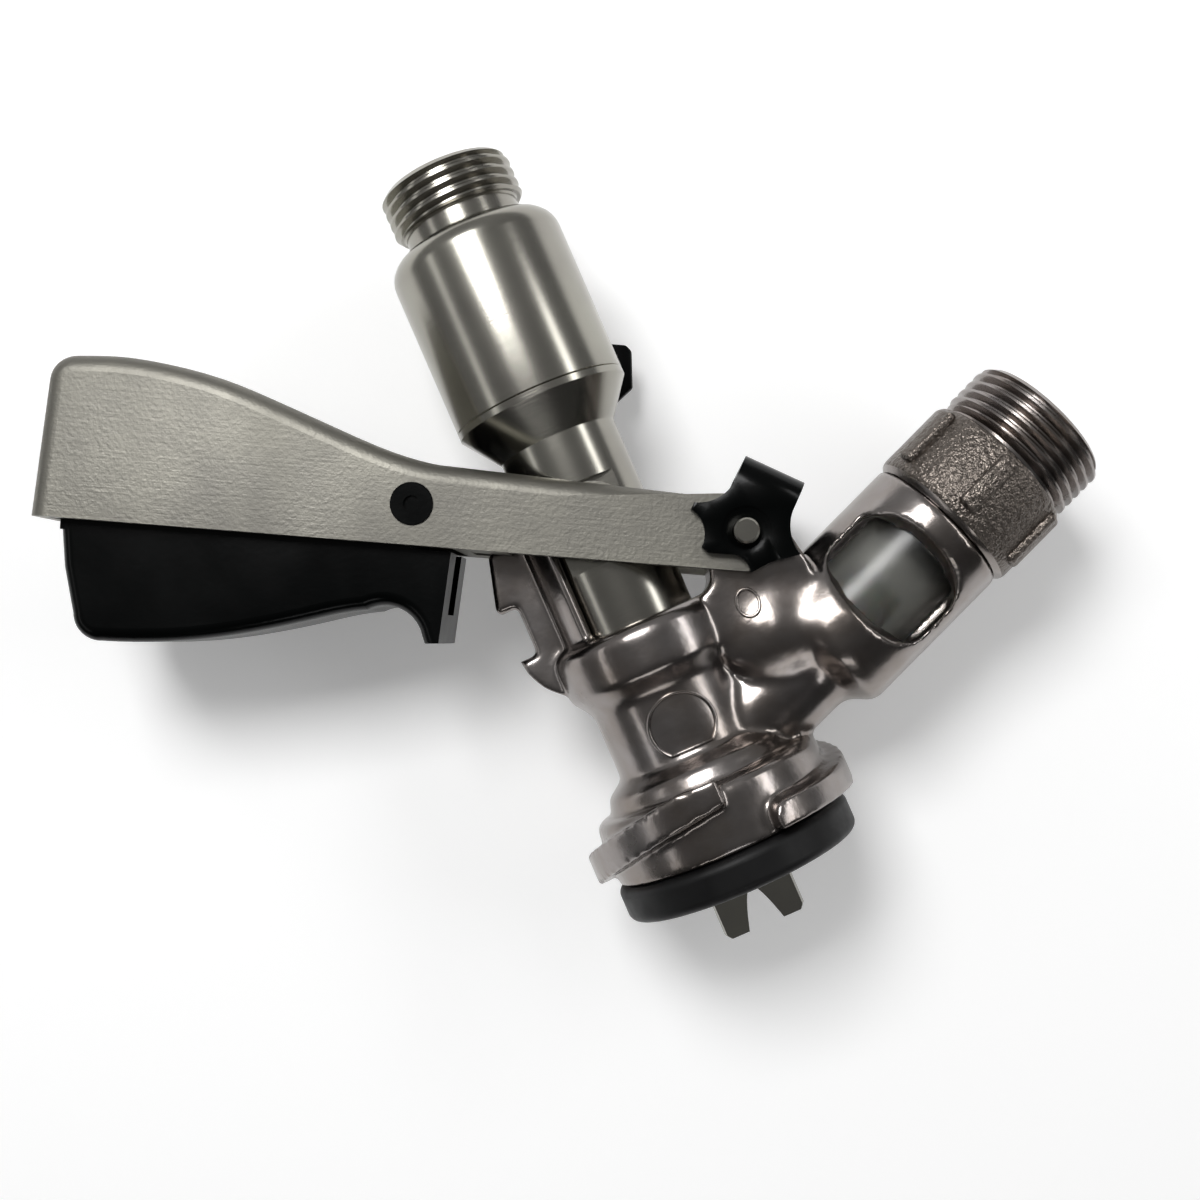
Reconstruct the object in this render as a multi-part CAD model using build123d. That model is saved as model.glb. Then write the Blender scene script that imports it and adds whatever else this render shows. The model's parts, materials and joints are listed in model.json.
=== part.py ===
from build123d import *
import math
import os

# Keg coupler with a lever handle, in millimetres.
# Origin: centre of the keg seal. +Z runs up the probe, the handle leaves towards -X
# and the gas arm towards +X. The handle is raised, and its latch is drawn back.

# ---- Running clearances ----
SLIDE_GAP = 0.06          # radial, between the probe and its bore
PIN_GAP = 0.05            # radial, between a pin and the hole that it turns in
SEAL_GAP = 0.02           # radial, between a rubber ring and what slides through it
SIDE_GAP = 0.35           # between faces that pass each other
SEAT_GAP = 0.1            # between pieces that are screwed or dropped together

# ---- Keg seal and skirt ----
SEAL_R = 20.7
SEAL_BORE_R = 14.4
SEAL_H = 6.4
SEAL_EDGE_R = 1.6
SEAL_RIB_H = 1.6
SEAL_RIB_DEPTH = 0.8
SKIRT_R = 20.0
SKIRT_H = 11.1
SKIRT_EDGE_R = 1.9
CHAMBER_R = 12.2
SPIGOT_TIP = 1.0          # the spigot ends this far above the seal's underside

# ---- Bayonet lugs ----
LUG_R = 23.2
LUG_BAND = 5.2
LUG_START = -69.0         # degrees round the probe axis, low end
LUG_END = 94.0            # high end
LUG_LOWEST = -50.0        # direction in which the ramp is lowest
LUG_RISE = 4.76           # half of the ramp's rise, at the skirt's edge
LUG_MIDDLE_Z = 10.15
LUG_FLOOR_Z = 3.9

LUG_TOP_Z = 15.5          # the high end is cut level here
LUG_CORNER_R = 2.4

# ---- Waist and collar ----
STEP_R = 17.0
STEP_TOP_Z = 17.3
STEP_EDGE_R = 1.2
WAIST_R = 12.9
WAIST_BOTTOM_Z = 19.5
WAIST_TOP_Z = 31.2
WAIST_FOOT_R = 1.6
WAIST_FLARE_R = 3.5
WAIST_BORE_R = 11.0
COLLAR_R = 15.5
COLLAR_BOTTOM_Z = 34.6
COLLAR_FOOT_R = 1.6
COLLAR_TOP_Z = 42.8
COLLAR_EDGE_R = 2.6

# ---- Probe ----
PROBE_R = 10.3
PROBE_BORE_R = 4.5
PROBE_STEP_Z = 29.0       # lower end of the thick shaft
TIP_R = 7.3
TIP_HOLE_R = 2.5
TIP_FLOOR_T = 2.0
PRONG_TOP_Z = -5.0
PRONG_END_Z = -12.3
PRONG_WIDTH = 5.0
PRONG_TIP_INNER_R = 4.0
NECK_TOP_Z = 76.0
CONE_TOP_Z = 82.3
HEAD_R = 15.0
HEAD_JOINT_Z = 83.4       # the head is screwed on above the cone
HEAD_TOP_Z = 113.8
HEAD_SHOULDER_R = 4.2
HEAD_WALL = 2.4
OUTLET_NECK_R = 10.0
OUTLET_NECK_H = 3.3
OUTLET_BORE_R = 7.6
THREAD_58_R = 11.455      # G 5/8 crest radius
THREAD_58_H = 7.6
THREAD_CHAMFER = 0.9
SPIGOT_WALL = 1.6
SPIGOT_H = 5.0
ORING_GROOVE = 1.0        # depth of the groove under the head's seal
ORING_SECTION_R = 1.0
TIP_SEAL_Z = -2.0
TIP_SEAL_SECTION_R = 1.1
BALL_R = 5.2
BALL_SEAT_H = 4.0
BALL_SEAT_DEPTH = 1.5     # how far the seat sits below the cone's top
BALL_SEAT_HOLE_R = 4.0
STOP_H = 1.2
STOP_Z = 104.0

# ---- Handle ----
PIVOT_X = 22.0
PIVOT_Z = 49.0
HANDLE_ANGLE = 28.0       # above -X, in the raised position
PLATE_INNER_Y = 10.65
PLATE_T = 2.8
PLATE_BOTTOM = -6.3
PLATE_NOSE_TOP = 5.5
GRIP_TOP = 20.8
GRIP_START_T = 7.1        # height of the top edge where the roof begins
GRIP_CORNER_S = 113.9
GRIP_CORNER_R = 4.5
GRIP_END_S = 115.4
CROWN_RISE = ((0.13, 0.12), (0.27, 0.34), (0.43, 0.61), (0.59, 0.84), (0.76, 0.965))
ROOF_START_S = 50.0
ROOF_T = 2.0
GRIP_EDGE_R = 3.0
LOBE_S = 24.6
LOBE_R = 6.5
LOBE_HALF_W = 3.5         # the lobes are discs with flat sides
LOBE_FACE_Y = 8.25
FLAT_Y = 8.0
FLAT_CLEAR = 0.45         # above and below the lobes, in the probe's flats
BRIDGE_START_S = 38.0
BRIDGE_END_S = 47.0
BRIDGE_T = 2.0
BRIDGE_SLOT_W = 7.0
HINGE_PIN_R = 2.05
HINGE_PIN_PROUD = 3.4

# ---- Latch ----
LATCH_TRAVEL = 3.8
LATCH_HALF_W = 10.2
LATCH_WALL = 2.2
LATCH_TOP = -6.8          # the grip's flat top, just below the plates
LATCH_EDGE_R = 2.2
LATCH_END_S = 111.4
LATCH_BEND_T = -14.0
SHOULDER_TOP = -3.2       # the grip's shoulders rise to here inside the handle's skirt
SHOULDER_LAP = 1.2
TONGUE_ROOT_L = 12.0
NOSE_SLOT_DEPTH = 2.6     # slot in the front face that clears the fin
NOSE_SLOT_HALF_W = 3.6
NOSE_SLOT_BOTTOM = -17.0
GUIDE_S = 53.8
GUIDE_T = 0.3
GUIDE_R = 2.5
PLUG_R = 3.45
PLUG_PROUD = 0.25
PLUG_DIMPLE = 0.6
PLUG_DIMPLE_R = 1.3
PAWL_HALF_W = 4.4
PAWL_TIP_S = 43.7
PAWL_BOTTOM = -4.1
PAWL_TIP_TOP = 3.0
TONGUE_TOP = 4.3
TONGUE_END_S = 66.0
HOOK_FACE_S = 47.3
SPRING_R = 1.75
SPRING_WIRE_R = 0.35
SPRING_TURNS = 4
SPRING_LENGTH = 4.6

# ---- Guide shell, latch fin and hinge post on the casting ----
GUIDE_SHELL_R = 12.6
GUIDE_SHELL_GAP = 0.3
GUIDE_SHELL_HALF_ANGLE = 48.0
FIN_T = 5.0
FIN_EDGE_R = 0.6
FIN_TOP_Z = 63.0
NOTCH_TOP_Z = 53.1
NOTCH_BOTTOM_Z = 44.5
NOTCH_ROOT_X = -17.4
TOOTH_X = -20.8
POST_INNER_X = 14.3
POST_OUTER_X = 29.0
POST_R = 6.4
POST_EDGE_R = 0.8
WEB_TOP_Z = 42.2
WEB_R = 12.1
WEB_X = 20.5
WEB_Z = 32.2

# ---- Gas arm ----
ARM_Z = 16.2              # where the arm's axis meets the probe's
ARM_ANGLE = 21.8
ARM_NECK_R = 9.4
THROAT_R = 4.0            # fillet between the arm and the waist
CORE_BOTTOM_Z = 8.0       # the blended core reaches this low inside the skirt ...
CORE_TOP_Z = 44.0         # ... and is made this high before it is cut off below the collar's top
NECK_FLARE_RUN = 3.4      # length of the slope from the neck out to the sleeve
NECK_FLARE_R = 4.0
SLEEVE_EDGE_R = 3.0
ARM_BORE_R = 4.5
SLEEVE_R = 13.2
SLEEVE_START = 29.0
SLEEVE_END = 57.4
SLEEVE_BORE_R = 10.4
GLASS_R = 10.3
GLASS_WALL = 1.8
GLASS_SEAL_T = 1.2
WINDOW_START = 38.0
WINDOW_LENGTH = 12.6
WINDOW_DEPTH_Y = 5.6      # half of the bridge that is left beside each window
WINDOW_HALF_T = 11.9
WINDOW_CORNER_R = 3.6
WINDOW_BEVEL = 28.0       # degrees, slope of the recess round each opening
WINDOW_LAND = 4.2         # sleeve between the glass's inner seat and the window
UNION_R = 13.85
UNION_END = 71.9
UNION_BORE_R = 8.0
UNION_CHAMFER = 1.3
UNION_RIBS = 6
UNION_RIB_W = 3.4
UNION_RIB_PROUD = 1.0
UNION_RIB_SLOPE = 1.0
UNION_RIB_EDGE_R = 0.4
THREAD_34_R = 13.22       # G 3/4 crest radius
THREAD_34_END = 82.4
UNION_SPIGOT_L = 4.5
VALVE_DISC_T = 1.6
VALVE_LIP_L = 7.0

# ---- Pin clip ----
CLIP_T = 1.7
CLIP_RECESS_R = 4.0
CLIP_RECESS = 0.5
# Sides of the star, each as start, middle and end in the handle's own s and t; no middle means straight.
STAR_SIDES = [
    ((2.6, 7.6), None, (-7.2, 4.0)), ((-7.2, 4.0), (-6.9, 1.6), (-8.9, -3.0)),
    ((-8.9, -3.0), None, (-4.1, -4.7)), ((-4.1, -4.7), None, (-1.2, -6.6)),
    ((-1.2, -6.6), (0.2, -4.4), (2.6, -3.9)), ((2.6, -3.9), None, (5.8, -3.9)),
    ((5.8, -3.9), None, (6.9, -3.1)), ((6.9, -3.1), (6.8, 0.2), (9.1, 2.8)),
    ((9.1, 2.8), None, (8.6, 3.9)), ((8.6, 3.9), (4.8, 5.0), (2.6, 7.6))]
TAB_Y = 15.35             # the tab passes outside the head
TAB_T = 1.6
CLIP_HOLE_R = 3.3
CLIP_FACE_Y = PLATE_INNER_Y + PLATE_T + 0.1
ARCH_RISE = 5.2
ARCH_T = 1.5
ARCH_CORNER_R = 4.6
ARCH_SLOT_L = 4.6
ARCH_SLOT_W = 1.3

SEAL_BOTTOM_Z = -SEAL_H / 2
SKIRT_BOTTOM_Z = SEAL_H / 2
SKIRT_TOP_Z = SKIRT_BOTTOM_Z + SKIRT_H
PROBE_GUIDE_R = PROBE_R + SLIDE_GAP
PLATE_OUTER_Y = PLATE_INNER_Y + PLATE_T

SIDE = Plane(origin=(0, 0, 0), x_dir=(1, 0, 0), z_dir=(0, -1, 0))
_h = math.radians(HANDLE_ANGLE)
HAND = Plane(origin=(PIVOT_X, 0, PIVOT_Z), x_dir=(-math.cos(_h), 0, math.sin(_h)), z_dir=(0, 1, 0))
_a = math.radians(ARM_ANGLE)
ARM = Plane(origin=(0, 0, ARM_Z), x_dir=(-math.sin(_a), 0, math.cos(_a)),
            z_dir=(math.cos(_a), 0, math.sin(_a)))


# ---- Small helpers ----
def turned(points, plane=Plane.XY):
    """Solid of revolution about the plane's z axis, from (radius, height) points."""
    profile = make_face(Polyline(*[(r, 0, z) for r, z in points], close=True))
    return plane * revolve(profile, Axis.Z, 360)


def ring(outer_r, inner_r, bottom, top, plane=Plane.XY):
    """Plain ring between two heights."""
    return turned([(inner_r, bottom), (outer_r, bottom), (outer_r, top), (inner_r, top)], plane)


def rod(r, bottom, top, plane=Plane.XY):
    """Plain cylinder between two heights on the plane's z axis."""
    height = top - bottom
    return plane * (Pos(0, 0, bottom + height / 2) * Cylinder(r, height))


def slab(face_on_plane, half_thickness):
    """Extrude a face both ways by half of the thickness."""
    normal = face_on_plane.faces()[0].normal_at()
    return extrude(Pos(*(normal * -half_thickness)) * face_on_plane, 2 * half_thickness)


def hand_cylinder(s, t, r, y_low, y_high):
    """Cylinder across the handle, between two places along Y."""
    height = y_high - y_low
    return HAND * (Pos(s, t, (y_low + y_high) / 2) * Cylinder(r, height))


def hand_box(s_low, s_high, t_low, t_high, half_y):
    """Box in the handle's frame, centred on the middle plane."""
    size = (s_high - s_low, t_high - t_low, 2 * half_y)
    return HAND * (Pos((s_low + s_high) / 2, (t_low + t_high) / 2, 0) * Box(*size))


def torus_ring(centre_r, section_r, height):
    """O-ring of round section."""
    return Pos(0, 0, height) * Torus(centre_r, section_r)


def one(shape):
    """The largest solid of a result, as a plain Solid."""
    return max(shape.solids(), key=lambda s: s.volume)


# ---- Casting ----
def rounded_turned(points, radii, plane=Plane.XY):
    """Solid of revolution whose outline starts and ends on the axis, each corner with its own radius."""
    line = FilletPolyline(*[(r, 0, z) for r, z in points], radius=radii)
    profile = make_face(line.edges() + [Line(line @ 1, line @ 0)])
    return plane * revolve(profile, Axis.Z, 360)


def trunk():
    """Skirt, step, waist and collar, turned as one."""
    outline = [
        (0, SKIRT_BOTTOM_Z), (SKIRT_R, SKIRT_BOTTOM_Z), (SKIRT_R, SKIRT_TOP_Z), (STEP_R, SKIRT_TOP_Z),
        (STEP_R - 1, STEP_TOP_Z), (WAIST_R, WAIST_BOTTOM_Z), (WAIST_R, WAIST_TOP_Z),
        (COLLAR_R, COLLAR_BOTTOM_Z), (COLLAR_R, COLLAR_TOP_Z), (0, COLLAR_TOP_Z)]
    ledge = SKIRT_R - STEP_R
    radii = [0.3, min(SKIRT_EDGE_R, 0.65 * ledge), min(STEP_EDGE_R / 2, 0.3 * ledge), STEP_EDGE_R,
             WAIST_FOOT_R, WAIST_FLARE_R, COLLAR_FOOT_R, COLLAR_EDGE_R]
    return rounded_turned(outline, radii)


def arm_and_throat():
    """The gas arm, blended into the waist by a wide fillet."""
    outline = [
        (0, 0), (ARM_NECK_R, 0), (ARM_NECK_R, SLEEVE_START - NECK_FLARE_RUN), (SLEEVE_R, SLEEVE_START),
        (SLEEVE_R, SLEEVE_END), (0, SLEEVE_END)]
    arm = rounded_turned(outline, [0.3, NECK_FLARE_R, SLEEVE_EDGE_R, 0.6], ARM)
    core = one(rod(WAIST_R, CORE_BOTTOM_Z, CORE_TOP_Z) + arm)
    seam = [e for e in core.edges() if e.geom_type not in (GeomType.LINE, GeomType.CIRCLE)]
    core = fillet(seam, THROAT_R)
    core -= rod(WAIST_R + 1, COLLAR_TOP_Z - 1, CORE_TOP_Z + 1)
    return core - rod(STEP_R, CORE_BOTTOM_Z - 5, STEP_TOP_Z - 3)


def bayonet_lug(turn):
    """A band on the skirt between two tilted planes: low and rounded at one end, high at the other."""
    sweep = LUG_END - LUG_START
    foot = SKIRT_R - 1
    section = Polyline((foot, 0, LUG_FLOOR_Z), (LUG_R, 0, LUG_FLOOR_Z), (LUG_R, 0, LUG_TOP_Z),
                       (foot, 0, LUG_TOP_Z), close=True)
    sector = Rot(0, 0, LUG_START) * revolve(make_face(section), Axis.Z, sweep)
    tilt = math.degrees(math.atan(LUG_RISE / LUG_R))
    band = Pos(0, 0, LUG_MIDDLE_Z) * Rot(0, 0, LUG_LOWEST) * Rot(0, tilt, 0) * Box(
        4 * LUG_R, 4 * LUG_R, LUG_BAND)
    lug = one(sector & band)
    corner = lug.edges().filter_by(GeomType.LINE).filter_by(
        lambda e: abs(math.degrees(math.atan2(e.center().Y, e.center().X)) - LUG_START) < 0.5)
    corner = [e for e in corner if e.center().Z > LUG_FLOOR_Z + LUG_BAND / 2 and radial(e)]
    lug = fillet(corner, LUG_CORNER_R)
    return Rot(0, 0, turn) * lug


def radial(edge):
    """True where an edge runs outwards, across the band."""
    start, end = edge @ 0, edge @ 1
    return abs(math.hypot(end.X, end.Y) - math.hypot(start.X, start.Y)) > 1


def guide_shell():
    sector = Rot(0, 0, 180 - GUIDE_SHELL_HALF_ANGLE) * revolve(
        make_face(Polyline((PROBE_R + GUIDE_SHELL_GAP, 0, COLLAR_TOP_Z - 4),
                           (GUIDE_SHELL_R, 0, COLLAR_TOP_Z - 4), (GUIDE_SHELL_R, 0, FIN_TOP_Z),
                           (PROBE_R + GUIDE_SHELL_GAP, 0, FIN_TOP_Z), close=True)),
        Axis.Z, 2 * GUIDE_SHELL_HALF_ANGLE)
    return sector


def latch_fin():
    """Fin with two teeth: the pawl drops between them when the handle is down."""
    inner_x = -(PROBE_R + 1.0)
    edge = [
        Line((inner_x, FIN_TOP_Z), (-18.4, FIN_TOP_Z)),
        Line((-18.4, FIN_TOP_Z), (TOOTH_X, NOTCH_TOP_Z + 1.1)),
        ThreePointArc((TOOTH_X, NOTCH_TOP_Z + 1.1), (TOOTH_X + 0.1, NOTCH_TOP_Z + 0.1),
                      (TOOTH_X + 1.1, NOTCH_TOP_Z)),
        Line((TOOTH_X + 1.1, NOTCH_TOP_Z), (NOTCH_ROOT_X, NOTCH_TOP_Z)),
        Line((NOTCH_ROOT_X, NOTCH_TOP_Z), (NOTCH_ROOT_X, NOTCH_BOTTOM_Z)),
        Line((NOTCH_ROOT_X, NOTCH_BOTTOM_Z), (TOOTH_X + 0.3, NOTCH_BOTTOM_Z)),
        ThreePointArc((TOOTH_X + 0.3, NOTCH_BOTTOM_Z), (-18.9, 39.5), (-14.6, COLLAR_BOTTOM_Z + 1)),
        Line((-14.6, COLLAR_BOTTOM_Z + 1), (inner_x, COLLAR_BOTTOM_Z + 1)),
        Line((inner_x, COLLAR_BOTTOM_Z + 1), (inner_x, FIN_TOP_Z)),
    ]
    fin = slab(SIDE * make_face(edge), FIN_T / 2)
    front = [e for e in fin.edges() if abs(abs(e.center().Y) - FIN_T / 2) < 0.01
             and (e @ 0).X < NOTCH_ROOT_X + 0.1 and (e @ 1).X < NOTCH_ROOT_X + 0.1]
    return fillet(front, FIN_EDGE_R)


def hinge_post():
    """Ear between the handle's plates, from the collar and the arm up to the hinge."""
    half = PLATE_INNER_Y - SIDE_GAP
    outline = [
        Line((POST_INNER_X, 30), (POST_INNER_X + 14.0, 24)),
        Line((POST_INNER_X + 14.0, 24), (POST_OUTER_X + 1.0, 40)),
        Line((POST_OUTER_X + 1.0, 40), (PIVOT_X + POST_R, PIVOT_Z)),
        ThreePointArc((PIVOT_X + POST_R, PIVOT_Z), (PIVOT_X, PIVOT_Z + POST_R),
                      (PIVOT_X - POST_R, PIVOT_Z)),
        Line((PIVOT_X - POST_R, PIVOT_Z), (POST_INNER_X, COLLAR_TOP_Z + 3)),
        ThreePointArc((POST_INNER_X, COLLAR_TOP_Z + 3), (POST_INNER_X - 0.9, COLLAR_TOP_Z + 0.9),
                      (POST_INNER_X - 3.0, COLLAR_TOP_Z)),
        Line((POST_INNER_X - 3.0, COLLAR_TOP_Z), (POST_INNER_X - 3.0, 30)),
        Line((POST_INNER_X - 3.0, 30), (POST_INNER_X, 30)),
    ]
    post = slab(SIDE * make_face(outline), half)
    sides = [e for e in post.edges() if abs(abs(e.center().Y) - half) < 0.01]
    return fillet(sides, POST_EDGE_R)


def web():
    """Swelling between collar and sleeve that carries the post, below the sweep of the plates."""
    ball = Pos(WEB_X, 0, WEB_Z) * Sphere(WEB_R)
    return ball & Pos(WEB_X, 0, WEB_TOP_Z - WEB_R) * Box(2 * WEB_R, 2 * WEB_R, 2 * WEB_R)


def arm_hollow():
    pocket_start = glass_pocket_start()
    inner = [
        (0, 0), (ARM_BORE_R, 0), (ARM_BORE_R, pocket_start), (SLEEVE_BORE_R, pocket_start),
        (SLEEVE_BORE_R, SLEEVE_END + 1), (0, SLEEVE_END + 1),
    ]
    return turned(inner, ARM)


def glass_pocket_start():
    return WINDOW_START - WINDOW_LAND


def windows():
    """Rounded openings through both sides of the sleeve, each in a wide bevelled recess."""
    middle = WINDOW_START + WINDOW_LENGTH / 2
    cuts = []
    for side in (1, -1):
        near = Plane(origin=ARM.from_local_coords((0, side * WINDOW_DEPTH_Y, middle)),
                     x_dir=ARM.x_dir, z_dir=ARM.y_dir * side)
        opening = RectangleRounded(2 * WINDOW_HALF_T - 3, WINDOW_LENGTH, WINDOW_CORNER_R)
        cuts.append(extrude(near * opening, SLEEVE_R))
        rim_plane = near.offset(GLASS_R - WINDOW_DEPTH_Y - 1.0)
        rim = RectangleRounded(2 * WINDOW_HALF_T - 2.2, WINDOW_LENGTH + 0.6, WINDOW_CORNER_R + 0.3)
        cuts.append(extrude(rim_plane * rim, SLEEVE_R, taper=-WINDOW_BEVEL))
    return cuts


def body_casting():
    body = one(trunk() + arm_and_throat())
    for cut in windows():
        body -= cut
    body += web()
    body += hinge_post()
    body += bayonet_lug(0) + bayonet_lug(180)
    body += guide_shell()
    body += latch_fin()
    body += seal_spigot()
    chamber = turned([
        (0, SEAL_BOTTOM_Z), (CHAMBER_R, SEAL_BOTTOM_Z), (CHAMBER_R, STEP_TOP_Z - 4),
        (WAIST_BORE_R, STEP_TOP_Z), (WAIST_BORE_R, WAIST_TOP_Z), (PROBE_GUIDE_R, WAIST_TOP_Z + 1),
        (PROBE_GUIDE_R, COLLAR_TOP_Z + 0.01), (0, COLLAR_TOP_Z + 0.01)])
    body -= chamber
    body -= rod(PROBE_R + GUIDE_SHELL_GAP, COLLAR_TOP_Z, FIN_TOP_Z + 5)
    body -= arm_hollow()
    for groove_z in oring_heights():
        body -= ring(PROBE_GUIDE_R + 2 * ORING_SECTION_R, PROBE_R - 1,
                     groove_z - ORING_SECTION_R - 0.1, groove_z + ORING_SECTION_R + 0.1)
    body -= hand_cylinder(0, 0, HINGE_PIN_R + PIN_GAP, -PLATE_OUTER_Y, PLATE_OUTER_Y)
    return one(body)


def seal_spigot():
    """Thin ring that the keg seal is stretched over, with a groove for the seal's rib."""
    outer = SEAL_BORE_R - SEAT_GAP
    foot = SEAL_BOTTOM_Z + SPIGOT_TIP
    groove = SEAL_RIB_H / 2 + SEAT_GAP
    top = SKIRT_BOTTOM_Z + 1
    return turned([
        (CHAMBER_R, foot), (outer, foot), (outer, -groove), (outer - SEAL_RIB_DEPTH, -groove),
        (outer - SEAL_RIB_DEPTH, groove), (outer, groove), (outer, top), (CHAMBER_R, top)])


def oring_heights():
    third = (COLLAR_TOP_Z - WAIST_TOP_Z - 1) / 4
    return (WAIST_TOP_Z + 1 + third, COLLAR_TOP_Z - third)


def probe_oring(height):
    return torus_ring(PROBE_R + SEAL_GAP + ORING_SECTION_R, ORING_SECTION_R, height)


def keg_seal():
    top = SEAL_H / 2 - 0.05
    bottom = SEAL_BOTTOM_Z
    rib = SEAL_RIB_H / 2
    rib_r = SEAL_BORE_R - SEAL_RIB_DEPTH
    seal = turned([
        (SEAL_BORE_R, bottom), (SEAL_R, bottom), (SEAL_R, top), (SEAL_BORE_R, top),
        (SEAL_BORE_R, rib), (rib_r, rib), (rib_r, -rib), (SEAL_BORE_R, -rib)])
    rims = [e for e in seal.edges().filter_by(GeomType.CIRCLE) if abs(e.radius - SEAL_R) < 0.01]
    return fillet(rims, SEAL_EDGE_R)


# ---- Inside the gas arm ----
def sight_glass():
    start = glass_pocket_start() + GLASS_SEAL_T
    end = glass_end()
    return ring(GLASS_R, GLASS_R - GLASS_WALL, start, end, ARM)


def glass_end():
    return SLEEVE_END - UNION_SPIGOT_L - GLASS_SEAL_T


def sight_glass_seal(start):
    return ring(GLASS_R, GLASS_R - GLASS_WALL - 0.6, start, start + GLASS_SEAL_T, ARM)


def gas_check_valve():
    """Lip valve: a flange inside the glass, and a wedge that closes along one line."""
    start = glass_pocket_start() + GLASS_SEAL_T + 2 * SEAT_GAP
    r = GLASS_R - GLASS_WALL - 0.05
    flange = ring(r, 3.6, start, start + VALVE_DISC_T, ARM)
    base = ARM * (Pos(0, 0, start + VALVE_DISC_T) * Circle(5.6))
    lip = ARM * (Pos(0, 0, start + VALVE_DISC_T + VALVE_LIP_L) * Rectangle(9.6, 0.9))
    wedge = loft([base, lip])
    hollow_base = ARM * (Pos(0, 0, start - 0.1) * Circle(3.6))
    hollow_tip = ARM * (Pos(0, 0, start + VALVE_DISC_T + VALVE_LIP_L - 1.6) * Rectangle(5.0, 0.3))
    return one(flange + wedge - loft([hollow_base, hollow_tip]))


def gas_union():
    """Screwed-in union: spigot, grip ribs and the thread for the gas line."""
    chamfer_at = UNION_CHAMFER
    outline = [
        (UNION_BORE_R, SLEEVE_END - UNION_SPIGOT_L), (SLEEVE_BORE_R - SEAT_GAP, SLEEVE_END - UNION_SPIGOT_L),
        (SLEEVE_BORE_R - SEAT_GAP, SLEEVE_END + 0.05), (UNION_R - chamfer_at, SLEEVE_END + 0.05),
        (UNION_R, SLEEVE_END + chamfer_at), (UNION_R, UNION_END - chamfer_at),
        (UNION_R - chamfer_at, UNION_END), (THREAD_34_R - 1.2, UNION_END),
        (THREAD_34_R - 1.2, UNION_END + 0.8), (THREAD_34_R, UNION_END + 1.6),
        (THREAD_34_R, THREAD_34_END - THREAD_CHAMFER),
        (THREAD_34_R - THREAD_CHAMFER, THREAD_34_END), (UNION_BORE_R, THREAD_34_END)]
    union = turned(outline, ARM)
    length = UNION_END - SLEEVE_END - 2 * UNION_CHAMFER
    for k in range(UNION_RIBS):
        place = Rot(0, 0, 90 + k * 360 / UNION_RIBS)
        union += ARM * place * union_rib(length)
    return one(union)


def union_rib(length):
    """One grip rib: level top, sloped sides, rounded along its crest."""
    foot = UNION_R - 0.8
    crest = UNION_R + UNION_RIB_PROUD
    half_top = UNION_RIB_W / 2
    half_foot = half_top + UNION_RIB_SLOPE
    section = make_face(Polyline((foot, -half_foot), (crest, -half_top), (crest, half_top),
                                 (foot, half_foot), close=True))
    start = (SLEEVE_END + UNION_END - length) / 2
    rib = Pos(0, 0, start) * extrude(section, length)
    crests = [e for e in rib.edges() if abs(e.center().X - crest) < 0.01]
    return fillet(crests, UNION_RIB_EDGE_R)


# ---- Probe ----
def lobe_centre_z():
    return PIVOT_Z + LOBE_S * math.sin(_h)


def probe_tube():
    """Tube with a floor and two prongs at its foot, drive flats, and a cone that takes the head."""
    spigot_r = HEAD_R - HEAD_WALL - SEAT_GAP
    spigot_bore_r = spigot_r - SPIGOT_WALL
    spigot_top = HEAD_JOINT_Z + SPIGOT_H
    floor_top = PRONG_TOP_Z + TIP_FLOOR_T
    tube = turned([
        (TIP_HOLE_R, PRONG_TOP_Z - 0.5), (PRONG_TIP_INNER_R, PRONG_END_Z), (TIP_R - 0.6, PRONG_END_Z),
        (TIP_R, PRONG_END_Z + 0.8), (TIP_R, PROBE_STEP_Z - 3), (PROBE_R, PROBE_STEP_Z),
        (PROBE_R, NECK_TOP_Z), (HEAD_R, CONE_TOP_Z), (HEAD_R, HEAD_JOINT_Z),
        (spigot_r, HEAD_JOINT_Z), (spigot_r, spigot_top), (spigot_bore_r, spigot_top),
        (spigot_bore_r, ball_seat_z()), (PROBE_BORE_R, ball_seat_z()), (PROBE_BORE_R, floor_top),
        (TIP_HOLE_R, floor_top)])
    lobe_z = lobe_centre_z()
    half_height = LOBE_R + FLAT_CLEAR
    prong_length = PRONG_TOP_Z - PRONG_END_Z
    for side in (1, -1):
        tube -= Pos(0, side * (FLAT_Y + 5), lobe_z) * Box(4 * PROBE_R, 10, 2 * half_height)
        beside = side * (PRONG_WIDTH / 2 + TIP_R)
        tube -= Pos(0, beside, PRONG_TOP_Z - prong_length) * Box(4 * TIP_R, 2 * TIP_R, 2 * prong_length)
    tube -= ring(TIP_R + 1, TIP_R - TIP_SEAL_SECTION_R, TIP_SEAL_Z - TIP_SEAL_SECTION_R - 0.1,
                 TIP_SEAL_Z + TIP_SEAL_SECTION_R + 0.1)
    groove_z = HEAD_JOINT_Z + SPIGOT_H / 2
    tube -= ring(HEAD_R, spigot_r - ORING_GROOVE, groove_z - ORING_GROOVE / 2 - 0.3,
                 groove_z + ORING_GROOVE / 2 + 0.3)
    return one(tube)


def probe_tip_seal():
    return torus_ring(TIP_R + 0.1, TIP_SEAL_SECTION_R, TIP_SEAL_Z)


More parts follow.
